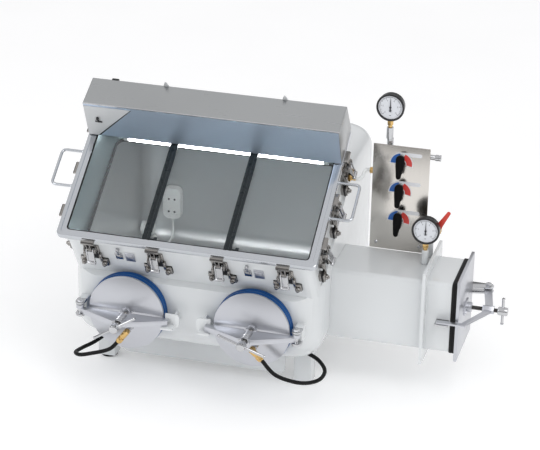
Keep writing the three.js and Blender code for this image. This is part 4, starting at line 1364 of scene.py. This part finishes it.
def add_vent_valve():
    """The brass lever valve that stands behind the side gauge, and its red lever."""
    x, y, z = VENT_AT
    riser = bmesh.new()
    rod(riser, (590, y, 352), (590, y, z - 13), 8, 0.8)
    piece("vent_riser", riser, ENAMEL)
    bm = bmesh.new()
    slab(bm, (576, y - 12, z - 14), (618, y + 12, z + 12), 2.5, segments=3)
    rod(bm, (x, y, z), (x, y - 20, z), 6, 0.8)
    piece("vent_valve_body", bm, BRASS, stands_for=["vent_valve"])
    grip = [*arc((0, 0), 9, 180, 360, 10), (9, 16), (7.4, 40), *arc((1, 66), 5.5, 20, 160, 8),
            (-6, 40), (-9, 14)]
    lean = Matrix.Rotation(math.radians(-30), 4, "Z")
    lever = bmesh.new()
    prism(lever, grip, -369, -366, 1.2, FACING_FRONT @ Matrix.Translation((x, z, 0)) @ lean)
    piece("vent_grip", lever, RED_COAT, "vent_lever", ["vent_lever"])


def add_clear_line():
    """The chamber's brass nozzle and the clear tube from it to the pipework's branch."""
    low, high = span("chamber_nozzle")
    _, y, z = middle_of("chamber_nozzle")
    nozzle = bmesh.new()
    hexagon(nozzle, (low.x, y, z), (362, y, z), 10)
    turned(nozzle, (360, y, z), (high.x, y, z), [
        (0, 5), (2, 6), (6, 5), (6.5, 6), (11, 5), (12, 6), (16, 5)], 24)
    piece("nozzle_brass", nozzle, BRASS, stands_for=["chamber_nozzle"])
    route = [(high.x + 0.3, y, z), (384, 380, 560), (391, 392, 563), (391, 416, 569),
             (396, PIPE_Y, BRANCH_Z), (403.7, PIPE_Y, BRANCH_Z)]
    tube = bmesh.new()
    sweep(tube, smooth_path(route, 8), 5, 16)
    piece("clear_line_tube", tube, CLEAR_TUBE, stands_for=["clear_line"])


# ---------------------------------------------------------------- inside the chamber
def add_outlet_strip():
    """A white outlet strip on the back wall with its lead down to the feedthrough."""
    low, high = span("outlet_strip")
    x, _, z = middle_of("outlet_strip")
    bm = bmesh.new()
    outline = rounded(high.x - low.x, high.z - low.z, 14, (x, z))
    prism(bm, outline, -high.y, -low.y, 4, FACING_FRONT)
    piece("outlet_body", bm, WHITE_PLASTIC, stands_for=["outlet_strip"])
    holes = bmesh.new()
    for dz in (-26, 14):
        for dx in (-9, 9):
            turned(holes, (x + dx, low.y + 0.6, z + dz), (x + dx, low.y - 0.15, z + dz),
                   [(0, 3.4), (0.75, 3.4)], 20)
    piece("outlet_holes", holes, INK)
    lead = bmesh.new()
    route = [(x, 752, low.z + 4), (x, 752, low.z - 20), (x + 2, 746, 165), (x - 2, 735, 138),
             (x - 16, 722, 131), (-290, 706, 140), (-303, 694, 165)]
    sweep(lead, smooth_path(route, 8), 3.2, 12, ends=(5.5, 5.3, 5.0, 4.6, 4.2, 3.8, 3.5))
    piece("outlet_lead", lead, WHITE_PLASTIC)


def add_feedthrough():
    """The cable gland in the left wall."""
    low, high = span("cable_feedthrough")
    _, y, z = middle_of("cable_feedthrough")
    gland = bmesh.new()
    turned(gland, (low.x, y, z), (high.x, y, z), [
        (0, 18), (1, 20), (14, 20), (15, 18.5), (17, 18.5), (18, 20), (30, 20), (34, 17), (39, 15)], 48)
    piece("feedthrough_gland", gland, WHITE_PLASTIC, stands_for=["cable_feedthrough"])


# ---------------------------------------------------------------- studio
FLOOR_HALF = 15


def add_floor():
    """A wide white floor that glows a little."""
    material, tree, bsdf = new_material("studio_floor")
    bsdf.inputs["Emission Strength"].default_value = 0.16
    bsdf.inputs["Emission Color"].default_value = (1, 1, 1, 1)
    bsdf.inputs["Roughness"].default_value = 0.9
    tint = colour_between(tree, grain(tree, 2, 0, 1), (0.93, 0.93, 0.93), (0.95, 0.95, 0.95))
    tree.links.new(tint, bsdf.inputs["Base Color"])
    corners = [(x * FLOOR_HALF, y * FLOOR_HALF, 0) for x, y in ((-1, -1), (1, -1), (1, 1), (-1, 1))]
    mesh = bpy.data.meshes.new("floor")
    mesh.from_pydata(corners, [], [(0, 1, 2, 3)])
    floor = bpy.data.objects.new("floor", mesh)
    floor.data.materials.append(material)
    bpy.context.scene.collection.objects.link(floor)


def add_area(name, at, aim, size, power, tint=(1, 1, 1)):
    """A rectangular soft light aimed at a point."""
    data = bpy.data.lights.new(name, "AREA")
    data.shape = "RECTANGLE"
    data.size, data.size_y = size
    data.energy = power
    data.color = tint
    lamp = bpy.data.objects.new(name, data)
    bpy.context.scene.collection.objects.link(lamp)
    lamp.location = at
    lamp.rotation_euler = (Vector(aim) - Vector(at)).to_track_quat("-Z", "Y").to_euler()


def add_studio():
    """A pale room, darker at and below the horizon for the steel to reflect, and three soft boxes."""
    add_area("overhead", (1.6, -1.9, 3.2), (0, 0, 0.3), (1.6, 1.6), 22)
    add_area("front_left", (-3.0, -3.4, 2.2), (0, 0, 0.3), (1.8, 1.8), 34, (0.96, 0.98, 1.0))
    add_area("right", (3.4, -1.4, 1.8), (0, 0, 0.3), (1.4, 1.8), 14)
    world = bpy.data.worlds.new("studio")
    bpy.context.scene.world = world
    world.use_nodes = True
    tree = world.node_tree
    where = tree.nodes.new("ShaderNodeTexCoord")
    split = tree.nodes.new("ShaderNodeSeparateXYZ")
    ramp = tree.nodes.new("ShaderNodeValToRGB")
    heights = {0.0: 0.22, 0.14: 0.30, 0.34: 0.92, 1.0: 1.0}
    while len(ramp.color_ramp.elements) < len(heights):
        ramp.color_ramp.elements.new(0.5)
    for element, (height, light) in zip(ramp.color_ramp.elements, heights.items()):
        element.position = height
        element.color = (light, light, light * 1.01, 1)
    tree.links.new(where.outputs["Generated"], split.inputs["Vector"])
    tree.links.new(split.outputs["Z"], ramp.inputs["Fac"])
    background = tree.nodes["Background"]
    background.inputs["Strength"].default_value = 0.88
    tree.links.new(ramp.outputs["Color"], background.inputs["Color"])
    bpy.context.scene.view_settings.view_transform = "Standard"


# ---------------------------------------------------------------- the whole
add_camera()
for port_word in HOSE_ROUTES:
    add_hose(port_word)
add_chamber()
add_neck_seam()
add_stand("front_stand", 90)
add_stand("rear_stand", 40)
add_window_frame()
add_window_glass()
add_window_gasket()
for bar_word in ("left", "right"):
    add_mullion(bar_word)
add_hood()
add_hood_fittings()
add_lamp()
add_latches()
add_ports()
add_pass_box()
add_panel()
add_cocks()
add_pipework()
for gauge_word in ("top", "side"):
    add_gauge(gauge_word)
add_vent_valve()
add_clear_line()
add_outlet_strip()
add_feedthrough()
add_floor()
add_studio()

bpy.context.view_layer.update()
